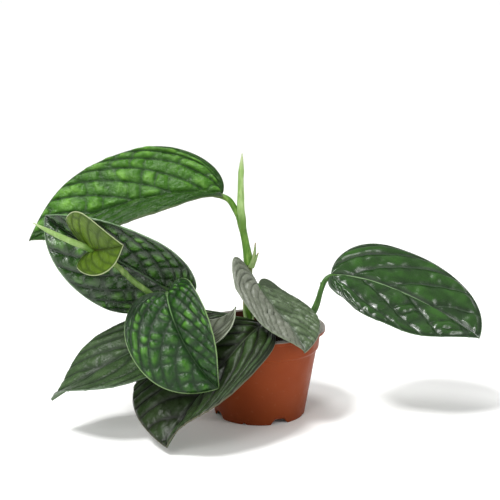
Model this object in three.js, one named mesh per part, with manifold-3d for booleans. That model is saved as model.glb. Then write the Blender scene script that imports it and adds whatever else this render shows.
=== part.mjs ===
// A climbing aroid with quilted leaves, standing in a round plastic nursery pot.
//
// Units are millimetres and +Z is up. The origin is the centre of the pot's base, on the surface
// that the pot stands on. +X runs towards the leaf that stands alone, -Y towards the drooping leaf.
// Each leaf blade, stalk, shoot and stem is a closed solid of its own, and so are the pot and the
// soil. Pieces that grow out of each other keep a narrow gap, so no two solids overlap.

import * as THREE from 'three';
import { mergeVertices } from 'three/addons/utils/BufferGeometryUtils.js';
import Module from 'manifold-3d';

const wasm = await Module();
wasm.setup();

// ---------------------------------------------------------------- driving dimensions
const GAP = 0.3; // clearance between pieces that touch
const LEAF_GAP = 0.5; // clearance cut round a blade where a stalk meets it

const POT_HEIGHT = 82;
const RIM_RADIUS = 60; // outer edge of the lip
const LIP_WIDTH = 4.6; // how far the lip stands out from the collar
const LIP_DEPTH = 3.6;
const LIP_ROUND = 0.8;
const WALL = 1.2;
const COLLAR_HEIGHT = 15; // from the step in the wall up to the lip
const COLLAR_LEAN = 1.2; // how much the collar narrows towards the step
const STEP = 2; // height and width of the step below the collar
const BASE_RADIUS = 41.6;
const SKIRT_HEIGHT = 6; // the floor stands this far above the table
const PAD_RADIUS = 13; // flat pad in the middle of the floor, level with the skirt's edge
const PAD_FLARE = 2; // how much wider the pad's cup is at the floor
const DRAIN_RADIUS = 3.5;
const DRAIN_CIRCLE = 28;
const DRAIN_COUNT = 6;
const DRAIN_SIDES = 16;
const NOTCH_COUNT = 4;
const NOTCH_TURN = -65; // degrees, where the first wide notch faces
const NOTCH_HEIGHT = 5;
const NOTCH_FOOT = 17; // width of a wide notch where it meets the table
const NOTCH_HEAD = 9;
const SMALL_NOTCH_HEIGHT = 1.4;
const SMALL_NOTCH_WIDTH = 4;

const SOIL_DROP = 12; // from the rim down to the soil at the wall
const SOIL_MOUND = 2.5; // how much higher the soil is in the middle
const MOUND_RINGS = [0.75, 0.45, 0.2]; // where the soil's top is rounded, as shares of its radius
const ROOTING_DEPTH = 8; // how far a stem reaches below the soil's edge

const BLADE_THICKNESS = 1;
const LOBE_SHARE = 0.45; // share of the margin that lies behind the widest place
const LOBE_REACH = 1.6; // where the margin heads from the base, in lobes behind it
const LOBE_SPREAD = 0.35; // and in half widths to the side
const LOBE_ROUND = 0.62; // how long the margin stays wide behind the widest place
const TIP_ROUND = 0.55; // how long it stays wide in front of the widest place
const TIP_POINT = 0.16; // share of the length over which the tip draws in
const VEIN_START = 0.34; // share of the margin whose veins all leave from the leaf's base
const VEIN_CROWDING = 1.35; // how much closer together the veins leave the midrib near the base
const VEIN_LEAN = 0.38; // how soon a vein turns forward, from 0 for at once to 1 for at the margin
const VEIN_BEND = 0.6; // how far out from the midrib it does so

const POT_SIDES = 40;
const STALK_SIDES = 8;
const STALK_STEP = 7; // distance between two rings of a stalk
const BLADE_ROWS = 13; // vein rows from the base to the tip
const BLADE_COLUMNS = 4; // steps from the midrib to the margin

const GRID_POT_HEIGHT = 82; // the pot that the plant's points below are written for
const GRID_RIM_RADIUS = 60;
const RIM_FADE = 30; // how far above the rim its radius still moves the plant

// ---------------------------------------------------------------- the plant, leaf by leaf
// rib: the midrib as a cubic curve from the base to the tip.
// face: which way the upper side looks, at the base and at the tip.
// half, lobe, fold and cup are each [left, right], seen from the base towards the tip:
//   half is the half width, lobe how far the basal lobe reaches behind the base,
//   fold the angle each half is raised by at the base and at the tip, in degrees,
//   cup how much each half then curves upward on its way to the margin, in degrees.
// widest: where the blade is widest, as a share of its length. full: how blunt the tip is.
const LEAVES = {
  upper: {
    rib: [[-34, 8, 202], [-74, 5, 213], [-158, 2, 188], [-207, -12, 164]],
    face: [[0, -0.45, 0.9], [-0.35, -0.65, 0.7]],
    half: [47, 51], lobe: [3, 3], fold: [[32, 9], [28, 19]], cup: [0, 0],
    widest: 0.37, full: 0.5, color: 0x3f7d35, roughness: 0.38,
  },
  middle: {
    rib: [[-81, -38, 124], [-114, -45, 150], [-159, -59, 172], [-187, -38, 191]],
    face: [[0.1, -0.95, 0.3], [-0.05, -0.95, 0.25]],
    half: [42, 37], lobe: [10, 28], fold: [[-18, 22], [30, 55]], cup: [0, 0],
    widest: 0.34, full: 0.52, color: 0x1f4a2a, roughness: 0.35,
  },
  front: {
    rib: [[-80, -66, 129], [-79, -86, 120], [-62, -99, 77], [-35, -104, 56]],
    face: [[-0.1, -0.8, 0.6], [-0.05, -0.98, 0.15]],
    half: [31, 44], lobe: [18, 6], fold: [[25, 27], [4, 12]], cup: [0, 0],
    widest: 0.37, full: 0.54, color: 0x2f6b2c, roughness: 0.38,
  },
  drooping: {
    rib: [[2, -28, 90], [-10, -76, 100], [-58, -78, 37], [-79, -114, 8]],
    face: [[-0.15, -0.3, 0.95], [-0.7, -0.4, 0.6]],
    half: [40, 69], lobe: [-3, 9], fold: [[-21, 31], [21, 30]], cup: [0, -25],
    widest: 0.57, full: 1.05, color: 0x24402a, roughness: 0.36,
  },
  low: {
    rib: [[-74, -42, 91], [-104, -54, 78], [-147, -67, 59], [-183, -62, 32]],
    face: [[0, -0.8, 0.6], [0, -0.25, 0.95]],
    half: [37, 32], lobe: [6, 6], fold: [[-4, 41], [7, 4]], cup: [0, 0],
    widest: 0.5, full: 0.48, color: 0x31573a, roughness: 0.5,
  },
  over_rim: {
    rib: [[-1, -16, 124], [6, -26, 109], [33, -45, 90], [39, -60, 74]],
    face: [[0.2, -0.35, 0.9], [0.25, -0.7, 0.65]],
    half: [39, 31], lobe: [12, 40], fold: [[-20, -5], [10, 30]], cup: [0, 0],
    widest: 0.45, full: 0.53, color: 0x66796a, roughness: 0.55,
  },
  small: {
    rib: [[-53, -66, 81], [-45, -66, 91], [-28, -57, 95], [-22, -40, 110]],
    face: [[-0.45, -0.8, 0.35], [-0.6, -0.75, 0.3]],
    half: [17, 12], lobe: [5, 5], fold: [[2, -9], [22, 29]], cup: [0, 0],
    widest: 0.38, full: 0.4, color: 0x8f9a86, roughness: 0.6,
  },
  right: {
    rib: [[65, 2, 129], [104, 15, 129], [165, 6, 98], [197, -26, 78]],
    face: [[0, -0.63, 0.78], [0.15, -0.62, 0.77]],
    half: [48, 51], lobe: [-5, 13], fold: [[0, 0], [10, 18]], cup: [0, 0],
    widest: 0.34, full: 0.9, color: 0x21502c, roughness: 0.3,
  },
  young: {
    rib: [[-142, -70, 167], [-134, -86, 170], [-122, -103, 175], [-112, -104, 178]],
    face: [[-0.6, -0.7, 0.4], [0.2, -0.95, 0.25]],
    half: [39, 23], lobe: [18, 16], fold: [[59, 33], [26, -14]], cup: [0, 0],
    widest: 0.35, full: 0.37, color: 0x5f7a35, roughness: 0.4,
  },
};

// Each stalk is a tapering tube through its points. root: where it enters the soil, from above.
// girth: its radius where it starts and where it ends. from: the stalks that it grows out of.
// leaf: the blade that it carries, at whose base it ends. beside: a blade that it grows past.
const STALKS = {
  shoot: { root: [-9, 2], path: [[-10, 1, 90], [-11, 0, 115], [-10, 0, 138]], girth: [3.6, 3.4] },
  petiole_upper: {
    from: ['shoot'], leaf: 'upper', girth: [3.6, 2.2],
    path: [[-10, 0, 139], [-12, 1, 152], [-15, 3, 168], [-18, 4, 180], [-22, 5, 188], [-28, 7, 197]],
  },
  spike_upper: {
    from: ['petiole_upper'], girth: [2.6, 1],
    path: [[-15, 0, 176], [-17, 0, 190], [-17, 1, 205], [-17, 2, 222], [-16, 3, 240]],
  },
  sheath_stub: {
    from: ['shoot', 'petiole_upper'], girth: [2.6, 0.8],
    path: [[-7, -3, 136], [-5, -4, 147], [-4, -4, 159]],
  },
  petiole_middle: {
    root: [-4, 16], leaf: 'middle', girth: [2.8, 2.2],
    path: [[-20, 17, 82], [-55, 16, 91], [-75, -6, 106], [-81, -28, 119]],
  },
  runner: {
    root: [-18, 4], leaf: 'young', girth: [3.4, 2.5],
    path: [[-32, 4, 84], [-57, 3, 93], [-73, -24, 103], [-85, -50, 114], [-95, -55, 125],
      [-109, -59, 137], [-122, -63, 151], [-136, -68, 163]],
  },
  petiole_front: {
    root: [-14, -12], leaf: 'front', girth: [2.8, 2.2],
    path: [[-30, -13, 86], [-52, -14, 97], [-64, -26, 110], [-74, -48, 122]],
  },
  petiole_drooping: {
    root: [10, -4], leaf: 'drooping', girth: [2.6, 2.2],
    path: [[10, -8, 84], [8, -18, 92]],
  },
  petiole_low: {
    root: [-22, -3], leaf: 'low', girth: [2.4, 2],
    path: [[-36, -4, 80], [-58, -4, 88], [-75, -15, 93], [-79, -30, 95]],
  },
  petiole_over_rim: {
    root: [14, 6], leaf: 'over_rim', girth: [2.6, 2],
    path: [[11, 2, 90], [4, -8, 114]],
  },
  petiole_small: {
    from: ['runner'], leaf: 'small', girth: [1.8, 1.4],
    path: [[-75, -30, 104], [-72, -44, 102], [-62, -60, 92]],
  },
  petiole_right: {
    root: [34, -4], leaf: 'right', girth: [3.1, 2.3],
    path: [[44, -2, 84], [52, 0, 100], [56, 1, 115], [60, 2, 124]],
  },
  spike_runner: {
    from: ['runner'], beside: 'young', girth: [2.6, 1.2],
    path: [[-145, -73, 169], [-158, -75, 175], [-176, -76, 184], [-190, -78, 192]],
  },
};

// ---------------------------------------------------------------- solids
// A solid from a closed geometry, its shared vertices merged and its faces pointing out.
function solidOf(geometry) {
  const bare = new THREE.BufferGeometry();
  bare.setAttribute('position', geometry.getAttribute('position'));
  bare.setIndex(geometry.getIndex());
  const merged = mergeVertices(bare, 1e-4);
  const points = merged.getAttribute('position');
  const corners = wholeTriangles(merged.getIndex().array);
  if (signedVolume(points, corners) < 0) {
    for (let i = 0; i < corners.length; i += 3) {
      [corners[i], corners[i + 1]] = [corners[i + 1], corners[i]];
    }
  }
  const vertProperties = Float32Array.from(points.array);
  const triVerts = Uint32Array.from(corners);
  return new wasm.Manifold(new wasm.Mesh({ numProp: 3, vertProperties, triVerts }));
}

// The triangles that still have three different corners after merging.
function wholeTriangles(index) {
  const kept = [];
  for (let i = 0; i < index.length; i += 3) {
    const [a, b, c] = [index[i], index[i + 1], index[i + 2]];
    if (a !== b && b !== c && c !== a) kept.push(a, b, c);
  }
  return kept;
}

function signedVolume(points, corners) {
  const [a, b, c] = [new THREE.Vector3(), new THREE.Vector3(), new THREE.Vector3()];
  let sum = 0;
  for (let i = 0; i < corners.length; i += 3) {
    a.fromBufferAttribute(points, corners[i]);
    b.fromBufferAttribute(points, corners[i + 1]);
    c.fromBufferAttribute(points, corners[i + 2]);
    sum += a.dot(b.cross(c));
  }
  return sum / 6;
}

function geometryOf(solid) {
  const mesh = solid.getMesh();
  const geometry = new THREE.BufferGeometry();
  geometry.setAttribute('position', new THREE.BufferAttribute(Float32Array.from(mesh.vertProperties), 3));
  geometry.setIndex(new THREE.BufferAttribute(Uint32Array.from(mesh.triVerts), 1));
  geometry.computeVertexNormals();
  return geometry;
}

// What is left of a solid after the cuts, without any sliver that they part from it.
function carve(solid, cutters) {
  const cut = cutters.reduce((rest, cutter) => rest.subtract(cutter), solid);
  return cut.decompose().reduce((a, b) => (a.volume() > b.volume() ? a : b));
}

// ---------------------------------------------------------------- where the plant stands
// A point of the plant, moved for the pot's real size. What hangs beside the pot moves with the
// rim's height, but keeps clear of the table under a lower pot. Up to the rim it keeps its place
// over the pot or its distance from the rim, and from RIM_FADE above the rim it stays where it is.
function place([x, y, z]) {
  const radius = Math.hypot(x, y);
  const reach = radius < GRID_RIM_RADIUS
    ? RIM_RADIUS / GRID_RIM_RADIUS
    : (radius + RIM_RADIUS - GRID_RIM_RADIUS) / radius;
  const free = THREE.MathUtils.clamp((z - GRID_POT_HEIGHT) / RIM_FADE, 0, 1);
  const out = THREE.MathUtils.lerp(reach, 1, free);
  const risen = z + POT_HEIGHT - GRID_POT_HEIGHT;
  const height = z < GRID_POT_HEIGHT ? Math.max(risen, (z * POT_HEIGHT) / GRID_POT_HEIGHT) : risen;
  return new THREE.Vector3(x * out, y * out, height);
}

// ---------------------------------------------------------------- pot and soil
const lipUnderside = POT_HEIGHT - LIP_DEPTH;
const stepTop = lipUnderside - COLLAR_HEIGHT;
const stepFoot = stepTop - STEP;
const collarRadius = RIM_RADIUS - LIP_WIDTH;
const collarFootRadius = collarRadius - COLLAR_LEAN;
const bodyRadius = collarFootRadius - STEP;
const floorTop = SKIRT_HEIGHT + WALL;

// The outside radius of the tapering body at a height below the step.
function bodyRadiusAt(z) {
  return BASE_RADIUS + ((bodyRadius - BASE_RADIUS) * z) / stepFoot;
}

function lathe(profile) {
  const points = profile.map(([radius, z]) => new THREE.Vector2(radius, z));
  return new THREE.LatheGeometry(points, POT_SIDES).rotateX(Math.PI / 2);
}

function potShell() {
  const padInside = PAD_RADIUS - WALL;
  return solidOf(lathe([
    [0, 0],
    [PAD_RADIUS, 0],
    [PAD_RADIUS + PAD_FLARE, SKIRT_HEIGHT],
    [bodyRadiusAt(SKIRT_HEIGHT) - WALL, SKIRT_HEIGHT],
    [BASE_RADIUS - WALL, 0],
    [BASE_RADIUS, 0],
    [bodyRadius, stepFoot],
    [collarFootRadius, stepTop],
    [collarRadius, lipUnderside],
    [RIM_RADIUS - LIP_ROUND, lipUnderside],
    [RIM_RADIUS, lipUnderside + LIP_ROUND],
    [RIM_RADIUS, POT_HEIGHT - LIP_ROUND],
    [RIM_RADIUS - LIP_ROUND, POT_HEIGHT],
    [collarRadius - WALL + LIP_ROUND, POT_HEIGHT],
    [collarRadius - WALL, POT_HEIGHT - LIP_ROUND],
    [collarFootRadius - WALL, stepTop],
    [bodyRadius - WALL, stepFoot],
    [bodyRadiusAt(floorTop) - WALL, floorTop],
    [padInside + PAD_FLARE, floorTop],
    [padInside, WALL],
    [0, WALL],
  ]));
}

// A cut through the skirt that widens towards the table, facing the given way.
function notch(degrees, foot, head, height) {
  const overlap = 4;
  const outline = new THREE.Shape([
    new THREE.Vector2(-foot / 2, 0),
    new THREE.Vector2(-foot / 2, -overlap),
    new THREE.Vector2(foot / 2, -overlap),
    new THREE.Vector2(foot / 2, 0),
    new THREE.Vector2(head / 2, height),
    new THREE.Vector2(-head / 2, height),
  ]);
  const depth = WALL + 2 * overlap;
  const block = new THREE.ExtrudeGeometry(outline, { depth, bevelEnabled: false });
  const angle = THREE.MathUtils.degToRad(degrees);
  const radial = new THREE.Vector3(Math.cos(angle), Math.sin(angle), 0);
  const up = new THREE.Vector3(0, 0, 1);
  const along = new THREE.Vector3().crossVectors(up, radial);
  const stand = new THREE.Matrix4().makeBasis(along, up, radial);
  stand.setPosition(radial.multiplyScalar(BASE_RADIUS - WALL - overlap));
  return solidOf(block.applyMatrix4(stand));
}

function pot() {
  const cuts = [];
  for (let i = 0; i < NOTCH_COUNT; i += 1) {
    const spacing = 360 / NOTCH_COUNT;
    const turn = NOTCH_TURN + i * spacing;
    cuts.push(notch(turn, NOTCH_FOOT, NOTCH_HEAD, NOTCH_HEIGHT));
    cuts.push(notch(turn + spacing / 2, SMALL_NOTCH_WIDTH, SMALL_NOTCH_WIDTH / 2, SMALL_NOTCH_HEIGHT));
  }
  for (let i = 0; i < DRAIN_COUNT; i += 1) {
    const angle = (2 * Math.PI * i) / DRAIN_COUNT;
    const hole = new THREE.CylinderGeometry(DRAIN_RADIUS, DRAIN_RADIUS, 3 * WALL, DRAIN_SIDES);
    hole.rotateX(Math.PI / 2);
    hole.translate(DRAIN_CIRCLE * Math.cos(angle), DRAIN_CIRCLE * Math.sin(angle), floorTop - WALL / 2);
    cuts.push(solidOf(hole));
  }
  return carve(potShell(), cuts);
}

// The soil follows the inside of the wall and has a socket for each stem that grows out of it.
function soil(sockets) {
  const edge = POT_HEIGHT - SOIL_DROP;
  const inside = [
    [bodyRadiusAt(floorTop), floorTop],
    [bodyRadius, stepFoot],
    [collarFootRadius, stepTop],
    [collarRadius, lipUnderside],
  ];
  const wallRadius = (z) => {
    const above = Math.max(1, inside.findIndex(([, height]) => height >= z));
    const [[lowRadius, low], [highRadius, high]] = [inside[above - 1], inside[above]];
    return lowRadius + ((highRadius - lowRadius) * (z - low)) / (high - low) - WALL - GAP;
  };
  const foot = floorTop + GAP;
  const sides = [foot, ...inside.map(([, z]) => z).filter((z) => z > foot && z < edge), edge];
  const mound = MOUND_RINGS.map((share) => [
    wallRadius(edge) * share,
    edge + SOIL_MOUND * (1 - share * share),
  ]);
  const profile = [[0, foot], ...sides.map((z) => [wallRadius(z), z]), ...mound, [0, edge + SOIL_MOUND]];
  return carve(solidOf(lathe(profile)), sockets);
}

// ---------------------------------------------------------------- stalks
// A tapering tube with flat ends. grow makes it thicker and longer all round, for a clearance.
function stalk({ root, path, leaf, girth }, grow = 0) {
  const ends = leaf ? [LEAVES[leaf].rib[0]] : [];
  const points = [...path, ...ends].map(place);
  if (root) {
    const start = place([...root, 0]);
    start.z = POT_HEIGHT - SOIL_DROP - ROOTING_DEPTH;
    points.unshift(start);
  }
  const last = points.length - 1;
  const startward = new THREE.Vector3().subVectors(points[0], points[1]).normalize();
  const endward = new THREE.Vector3().subVectors(points[last], points[last - 1]).normalize();
  points[0].addScaledVector(startward, grow);
  points[last].addScaledVector(endward, grow);
  const curve = new THREE.CatmullRomCurve3(points, false, 'centripetal');
  const rings = Math.max(4, Math.round(curve.getLength() / STALK_STEP));
  const frames = curve.computeFrenetFrames(rings, false);
  const positions = [];
  for (let i = 0; i <= rings; i += 1) {
    const radius = THREE.MathUtils.lerp(girth[0], girth[1], i / rings) + grow;
    const centre = curve.getPointAt(i / rings);
    for (let k = 0; k < STALK_SIDES; k += 1) {
      const angle = (2 * Math.PI * k) / STALK_SIDES;
      const rim = centre.clone();
      rim.addScaledVector(frames.normals[i], radius * Math.cos(angle));
      rim.addScaledVector(frames.binormals[i], radius * Math.sin(angle));
      positions.push(...rim.toArray());
    }
  }
  const [foot, tip] = [positions.length / 3, positions.length / 3 + 1];
  positions.push(...curve.getPointAt(0).toArray(), ...curve.getPointAt(1).toArray());
  const index = [];
  for (let k = 0; k < STALK_SIDES; k += 1) {
    const next = (k + 1) % STALK_SIDES;
    index.push(foot, next, k);
    index.push(tip, rings * STALK_SIDES + k, rings * STALK_SIDES + next);
    for (let i = 0; i < rings; i += 1) {
      const [low, high] = [i * STALK_SIDES, (i + 1) * STALK_SIDES];
      index.push(low + k, low + next, high + next, low + k, high + next, high + k);
    }
  }
  return solidOf(indexed(positions, index));
}

function indexed(positions, index) {
  const geometry = new THREE.BufferGeometry();
  geometry.setAttribute('position', new THREE.Float32BufferAttribute(positions, 3));
  geometry.setIndex(index);
  return geometry;
}

// ---------------------------------------------------------------- leaf blades
// Point t of the cubic curve through the four flat control points.
function cubic(controls, t) {
  const weights = [(1 - t) ** 3, 3 * (1 - t) ** 2 * t, 3 * (1 - t) * t * t, t ** 3];
  return [0, 1].map((axis) => weights.reduce((sum, w, i) => sum + w * controls[i][axis], 0));
}

// The margin of one half of the flat blade, from the base (v = 0) round the basal lobe to the tip
// (v = 1). x runs along the midrib and y away from it.
function margin(v, { length, half, lobe, widest, full, grow }) {
  const waist = widest * length;
  if (v < LOBE_SHARE) {
    const back = [[-grow, 0], [-LOBE_REACH * lobe - grow, LOBE_SPREAD * half],
      [waist - LOBE_ROUND * (waist + lobe), half], [waist, half]];
    return cubic(back, v / LOBE_SHARE);
  }
  const front = [[waist, half], [waist + TIP_ROUND * (length - waist), half],
    [length - TIP_POINT * length, full * half], [length, 0]];
  return cubic(front, (v - LOBE_SHARE) / (1 - LOBE_SHARE));
}

// A point of the flat half blade: v picks a side vein and s goes out along it, from the midrib
// to the margin. The first veins all leave from the base, as they do in a heart-shaped leaf.
function alongVein(v, s, half) {
  const [marginX, marginY] = margin(v, half);
  const start = Math.max(0, (v - VEIN_START) / (1 - VEIN_START)) ** VEIN_CROWDING * half.length;
  const origin = v < VEIN_START ? -half.grow : start;
  const bend = [THREE.MathUtils.lerp(origin, marginX, VEIN_LEAN), VEIN_BEND * marginY];
  const [near, middle, far] = [(1 - s) ** 2, 2 * s * (1 - s), s * s];
  return [near * origin + middle * bend[0] + far * marginX, middle * bend[1] + far * marginY];
}

// The middle surface of a blade, bent along its midrib, folded and cupped.
function bladeSurface(leaf, grow) {
  const rib = new THREE.CubicBezierCurve3(...leaf.rib.map(place));
  const length = rib.getLength();
  const faces = leaf.face.map((face) => new THREE.Vector3(...face));
  const positions = [];
  const index = [];
  [1, -1].forEach((side, which) => {
    const half = leaf.half[which];
    const { widest, full } = leaf;
    const shape = { length, half: half + grow, lobe: leaf.lobe[which], widest, full, grow };
    const bend = THREE.MathUtils.degToRad(leaf.cup[which]) / half || 1e-6;
    const first = positions.length / 3;
    for (let i = 0; i <= BLADE_ROWS; i += 1) {
      for (let j = 0; j <= BLADE_COLUMNS; j += 1) {
        const [x, y] = alongVein(i / BLADE_ROWS, j / BLADE_COLUMNS, shape);
        const share = THREE.MathUtils.clamp(x / length, 0, 1);
        const tangent = rib.getTangentAt(share);
        const face = faces[0].clone().lerp(faces[1], share);
        const across = new THREE.Vector3().crossVectors(face, tangent).normalize();
        const normal = new THREE.Vector3().crossVectors(tangent, across);
        const raise = THREE.MathUtils.degToRad(THREE.MathUtils.lerp(...leaf.fold[which], share));
        const out = (Math.sin(raise + bend * y) - Math.sin(raise)) / bend;
        const lift = (Math.cos(raise) - Math.cos(raise + bend * y)) / bend;
        const point = rib.getPointAt(share).addScaledVector(tangent, x - share * length);
        point.addScaledVector(across, side * out).addScaledVector(normal, lift);
        positions.push(...point.toArray());
      }
    }
    for (let i = 0; i < BLADE_ROWS; i += 1) {
      for (let j = 0; j < BLADE_COLUMNS; j += 1) {
        const a = first + i * (BLADE_COLUMNS + 1) + j;
        const b = a + BLADE_COLUMNS + 1;
        const quad = [a, b, b + 1, a, b + 1, a + 1];
        index.push(...(side > 0 ? quad : quad.reverse()));
      }
    }
  });
  const merged = mergeVertices(indexed(positions, index), 1e-3);
  merged.setIndex(wholeTriangles(merged.getIndex().array));
  merged.computeVertexNormals();
  return merged;
}

// A blade of even thickness. grow makes it thicker and wider all round, for a clearance.
function blade(leaf, grow = 0) {
  const surface = bladeSurface(leaf, grow);
  const points = surface.getAttribute('position');
  const normals = surface.getAttribute('normal');
  const corners = surface.getIndex().array;
  const positions = [];
  for (const side of [1, -1]) {
    for (let i = 0; i < points.count; i += 1) {
      const point = new THREE.Vector3().fromBufferAttribute(points, i);
      const normal = new THREE.Vector3().fromBufferAttribute(normals, i);
      positions.push(...point.addScaledVector(normal, side * (BLADE_THICKNESS / 2 + grow)).toArray());
    }
  }
  const under = points.count;
  const index = [];
  const open = new Map();
  for (let i = 0; i < corners.length; i += 3) {
    const triangle = [corners[i], corners[i + 1], corners[i + 2]];
    index.push(...triangle);
    index.push(...triangle.map((corner) => corner + under).reverse());
    triangle.forEach((from, k) => {
      const to = triangle[(k + 1) % 3];
      if (!open.delete(`${to} ${from}`)) open.set(`${from} ${to}`, [from, to]);
    });
  }
  for (const [from, to] of open.values()) {
    index.push(to, from, from + under, to, from + under, to + under);
  }
  return solidOf(indexed(positions, index));
}

// ---------------------------------------------------------------- the assembly
const MATERIALS = {
  pot: { color: 0xa4512f, roughness: 0.55 },
  soil: { color: 0x2b1d16, roughness: 0.95 },
  stalk: { color: 0x6f9a4a, roughness: 0.45 },
  spike: { color: 0xa3c47c, roughness: 0.45 },
};

function node(name, solid, { color, roughness }) {
  const material = new THREE.MeshStandardMaterial({ color, roughness, metalness: 0 });
  const mesh = new THREE.Mesh(geometryOf(solid), material);
  mesh.name = name;
  return mesh;
}

const group = new THREE.Group();
group.add(node('pot', pot(), MATERIALS.pot));

const rooted = Object.values(STALKS).filter(({ root }) => root);
group.add(node('soil', soil(rooted.map((stem) => stalk(stem, GAP))), MATERIALS.soil));

for (const [name, stem] of Object.entries(STALKS)) {
  const cutters = (stem.from ?? []).map((parent) => stalk(STALKS[parent], GAP));
  for (const near of [stem.leaf, stem.beside]) {
    if (near) cutters.push(blade(LEAVES[near], LEAF_GAP));
  }
  const finish = name.startsWith('spike') ? MATERIALS.spike : MATERIALS.stalk;
  group.add(node(name, carve(stalk(stem), cutters), finish));
}

for (const [name, leaf] of Object.entries(LEAVES)) {
  group.add(node(`leaf_${name}`, blade(leaf), leaf));
}

export default group;
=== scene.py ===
# %% [markdown]
# # A quilted climbing aroid in a nursery pot
#
# This lesson dresses a finished model of a potted plant. The solid model comes first and fixes
# every size and place: a pot, the soil in it, stalks, and nine leaf blades as plain thin shells.
# Each cell below takes one kind of piece, explains what it is on the real plant, and then makes a
# finer piece that stands exactly where the plain one stood.

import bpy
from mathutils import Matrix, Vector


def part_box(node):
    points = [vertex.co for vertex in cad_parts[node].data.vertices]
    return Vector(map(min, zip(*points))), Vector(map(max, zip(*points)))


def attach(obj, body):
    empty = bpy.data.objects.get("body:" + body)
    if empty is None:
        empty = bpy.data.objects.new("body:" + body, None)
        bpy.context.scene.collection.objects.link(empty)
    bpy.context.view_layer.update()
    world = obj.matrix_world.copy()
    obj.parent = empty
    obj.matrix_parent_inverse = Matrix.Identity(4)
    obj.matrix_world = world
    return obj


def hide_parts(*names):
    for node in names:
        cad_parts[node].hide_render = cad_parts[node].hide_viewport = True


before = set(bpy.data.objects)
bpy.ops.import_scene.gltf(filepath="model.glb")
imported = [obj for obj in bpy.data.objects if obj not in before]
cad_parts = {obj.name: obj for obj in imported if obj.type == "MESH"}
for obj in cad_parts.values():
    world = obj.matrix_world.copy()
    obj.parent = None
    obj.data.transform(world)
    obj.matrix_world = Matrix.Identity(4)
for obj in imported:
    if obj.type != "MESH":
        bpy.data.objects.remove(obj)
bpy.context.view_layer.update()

# %% [markdown]
# ## Tools
#
# The plant's tables are in millimetres, because leaves and stalks are measured that way, and
# Blender works in metres. One factor turns the one into the other, at the moment a mesh is made.

# %% Imports and units
import math

import bpy
import numpy as np
from mathutils import Vector

MM = 0.001

# %% [markdown]
# ## Camera, light and floor
#
# The camera stands a metre in front of the pot, a little above the highest leaf, and looks down by
# twelve degrees. A long lens keeps the leaves that reach forward from looking too large.
#
# Glossy quilted leaves are read by their highlights, so the light matters as much as the paint.
# A soft lamp high above draws the pale streaks along the quilting, a second one lights the right
# side of the pot, and a third comes from the front left. A soft high sun lights the whole floor
# evenly. The surround is white at the horizon, so that the glossy skins mirror something bright,
# and dimmer overhead, so that they keep their green.

# %% Camera
EYE = Vector((-9, -1030, 368)) * MM
AIM = Vector((-9, 0, 152.4)) * MM
LENS_MM = 83.7


def aimed(name, data, place, target):
    """A camera or a lamp that stands at a place and faces a target."""
    holder = bpy.data.objects.new(name, data)
    bpy.context.collection.objects.link(holder)
    holder.location = place
    holder.rotation_euler = (Vector(target) - Vector(place)).to_track_quat("-Z", "Y").to_euler()
    return holder


lens = bpy.data.cameras.new("camera")
lens.lens = LENS_MM
bpy.context.scene.camera = aimed("camera", lens, EYE, AIM)
bpy.context.scene.view_settings.view_transform = "Standard"
print("camera distance:", round((EYE - AIM).length, 3), "m")

# %% Soft lamps, the sun and the surround
PLANT_MIDDLE = (0, 0, 0.12)
SUN_PLACE = (-0.5, -0.45, 1.2)


def soft_lamp(name, place, size, watts):
    """A square soft box that faces the plant."""
    lamp = bpy.data.lights.new(name, "AREA")
    lamp.size = size
    lamp.energy = watts
    aimed(name, lamp, place, PLANT_MIDDLE)


soft_lamp("key", (-0.15, 0.1, 1.35), 0.4, 6)
soft_lamp("side", (1.2, -0.6, 0.7), 0.4, 4)
soft_lamp("front", (-0.45, -1.0, 0.85), 0.45, 4.5)

sun = bpy.data.lights.new("sun", "SUN")
sun.energy = 2.2
sun.angle = math.radians(12)
aimed("sun", sun, SUN_PLACE, (0, 0, 0))


def white_surround(horizon, overhead):
    """A world that is white all round at the horizon and dimmer overhead."""
    world = bpy.data.worlds.new("surround")
    world.use_nodes = True
    nodes, links = world.node_tree.nodes, world.node_tree.links
    direction = nodes.new("ShaderNodeTexCoord").outputs["Generated"]
    split = nodes.new("ShaderNodeSeparateXYZ")
    ramp = nodes.new("ShaderNodeMapRange")
    limits = {"From Min": 0.15, "From Max": 0.5, "To Min": horizon, "To Max": overhead}
    for title, number in limits.items():
        ramp.inputs[title].default_value = number
    nodes["Background"].inputs["Color"].default_value = (1, 1, 1, 1)
    links.new(direction, split.inputs["Vector"])
    links.new(split.outputs["Z"], ramp.inputs["Value"])
    links.new(ramp.outputs["Result"], nodes["Background"].inputs["Strength"])
    bpy.context.scene.world = world


white_surround(horizon=1.02, overhead=0.4)

# %% [markdown]
# ## Building a finish from nodes
#
# Every finish here is a short chain: a base colour, then one blend for each thing that changes it,
# such as a vein, a margin or dust. A few helpers keep each chain readable. A colour is written the
# way a paint shop writes it, as six hex digits, and turned into the linear values that light needs.


# %% Colour and node helpers
def paint(code):
    """The linear colour of a six-digit hex code."""
    shares = [int(code[i:i + 2], 16) / 255 for i in (0, 2, 4)]
    return [s / 12.92 if s <= 0.04045 else ((s + 0.055) / 1.055) ** 2.4 for s in shares] + [1]


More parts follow.
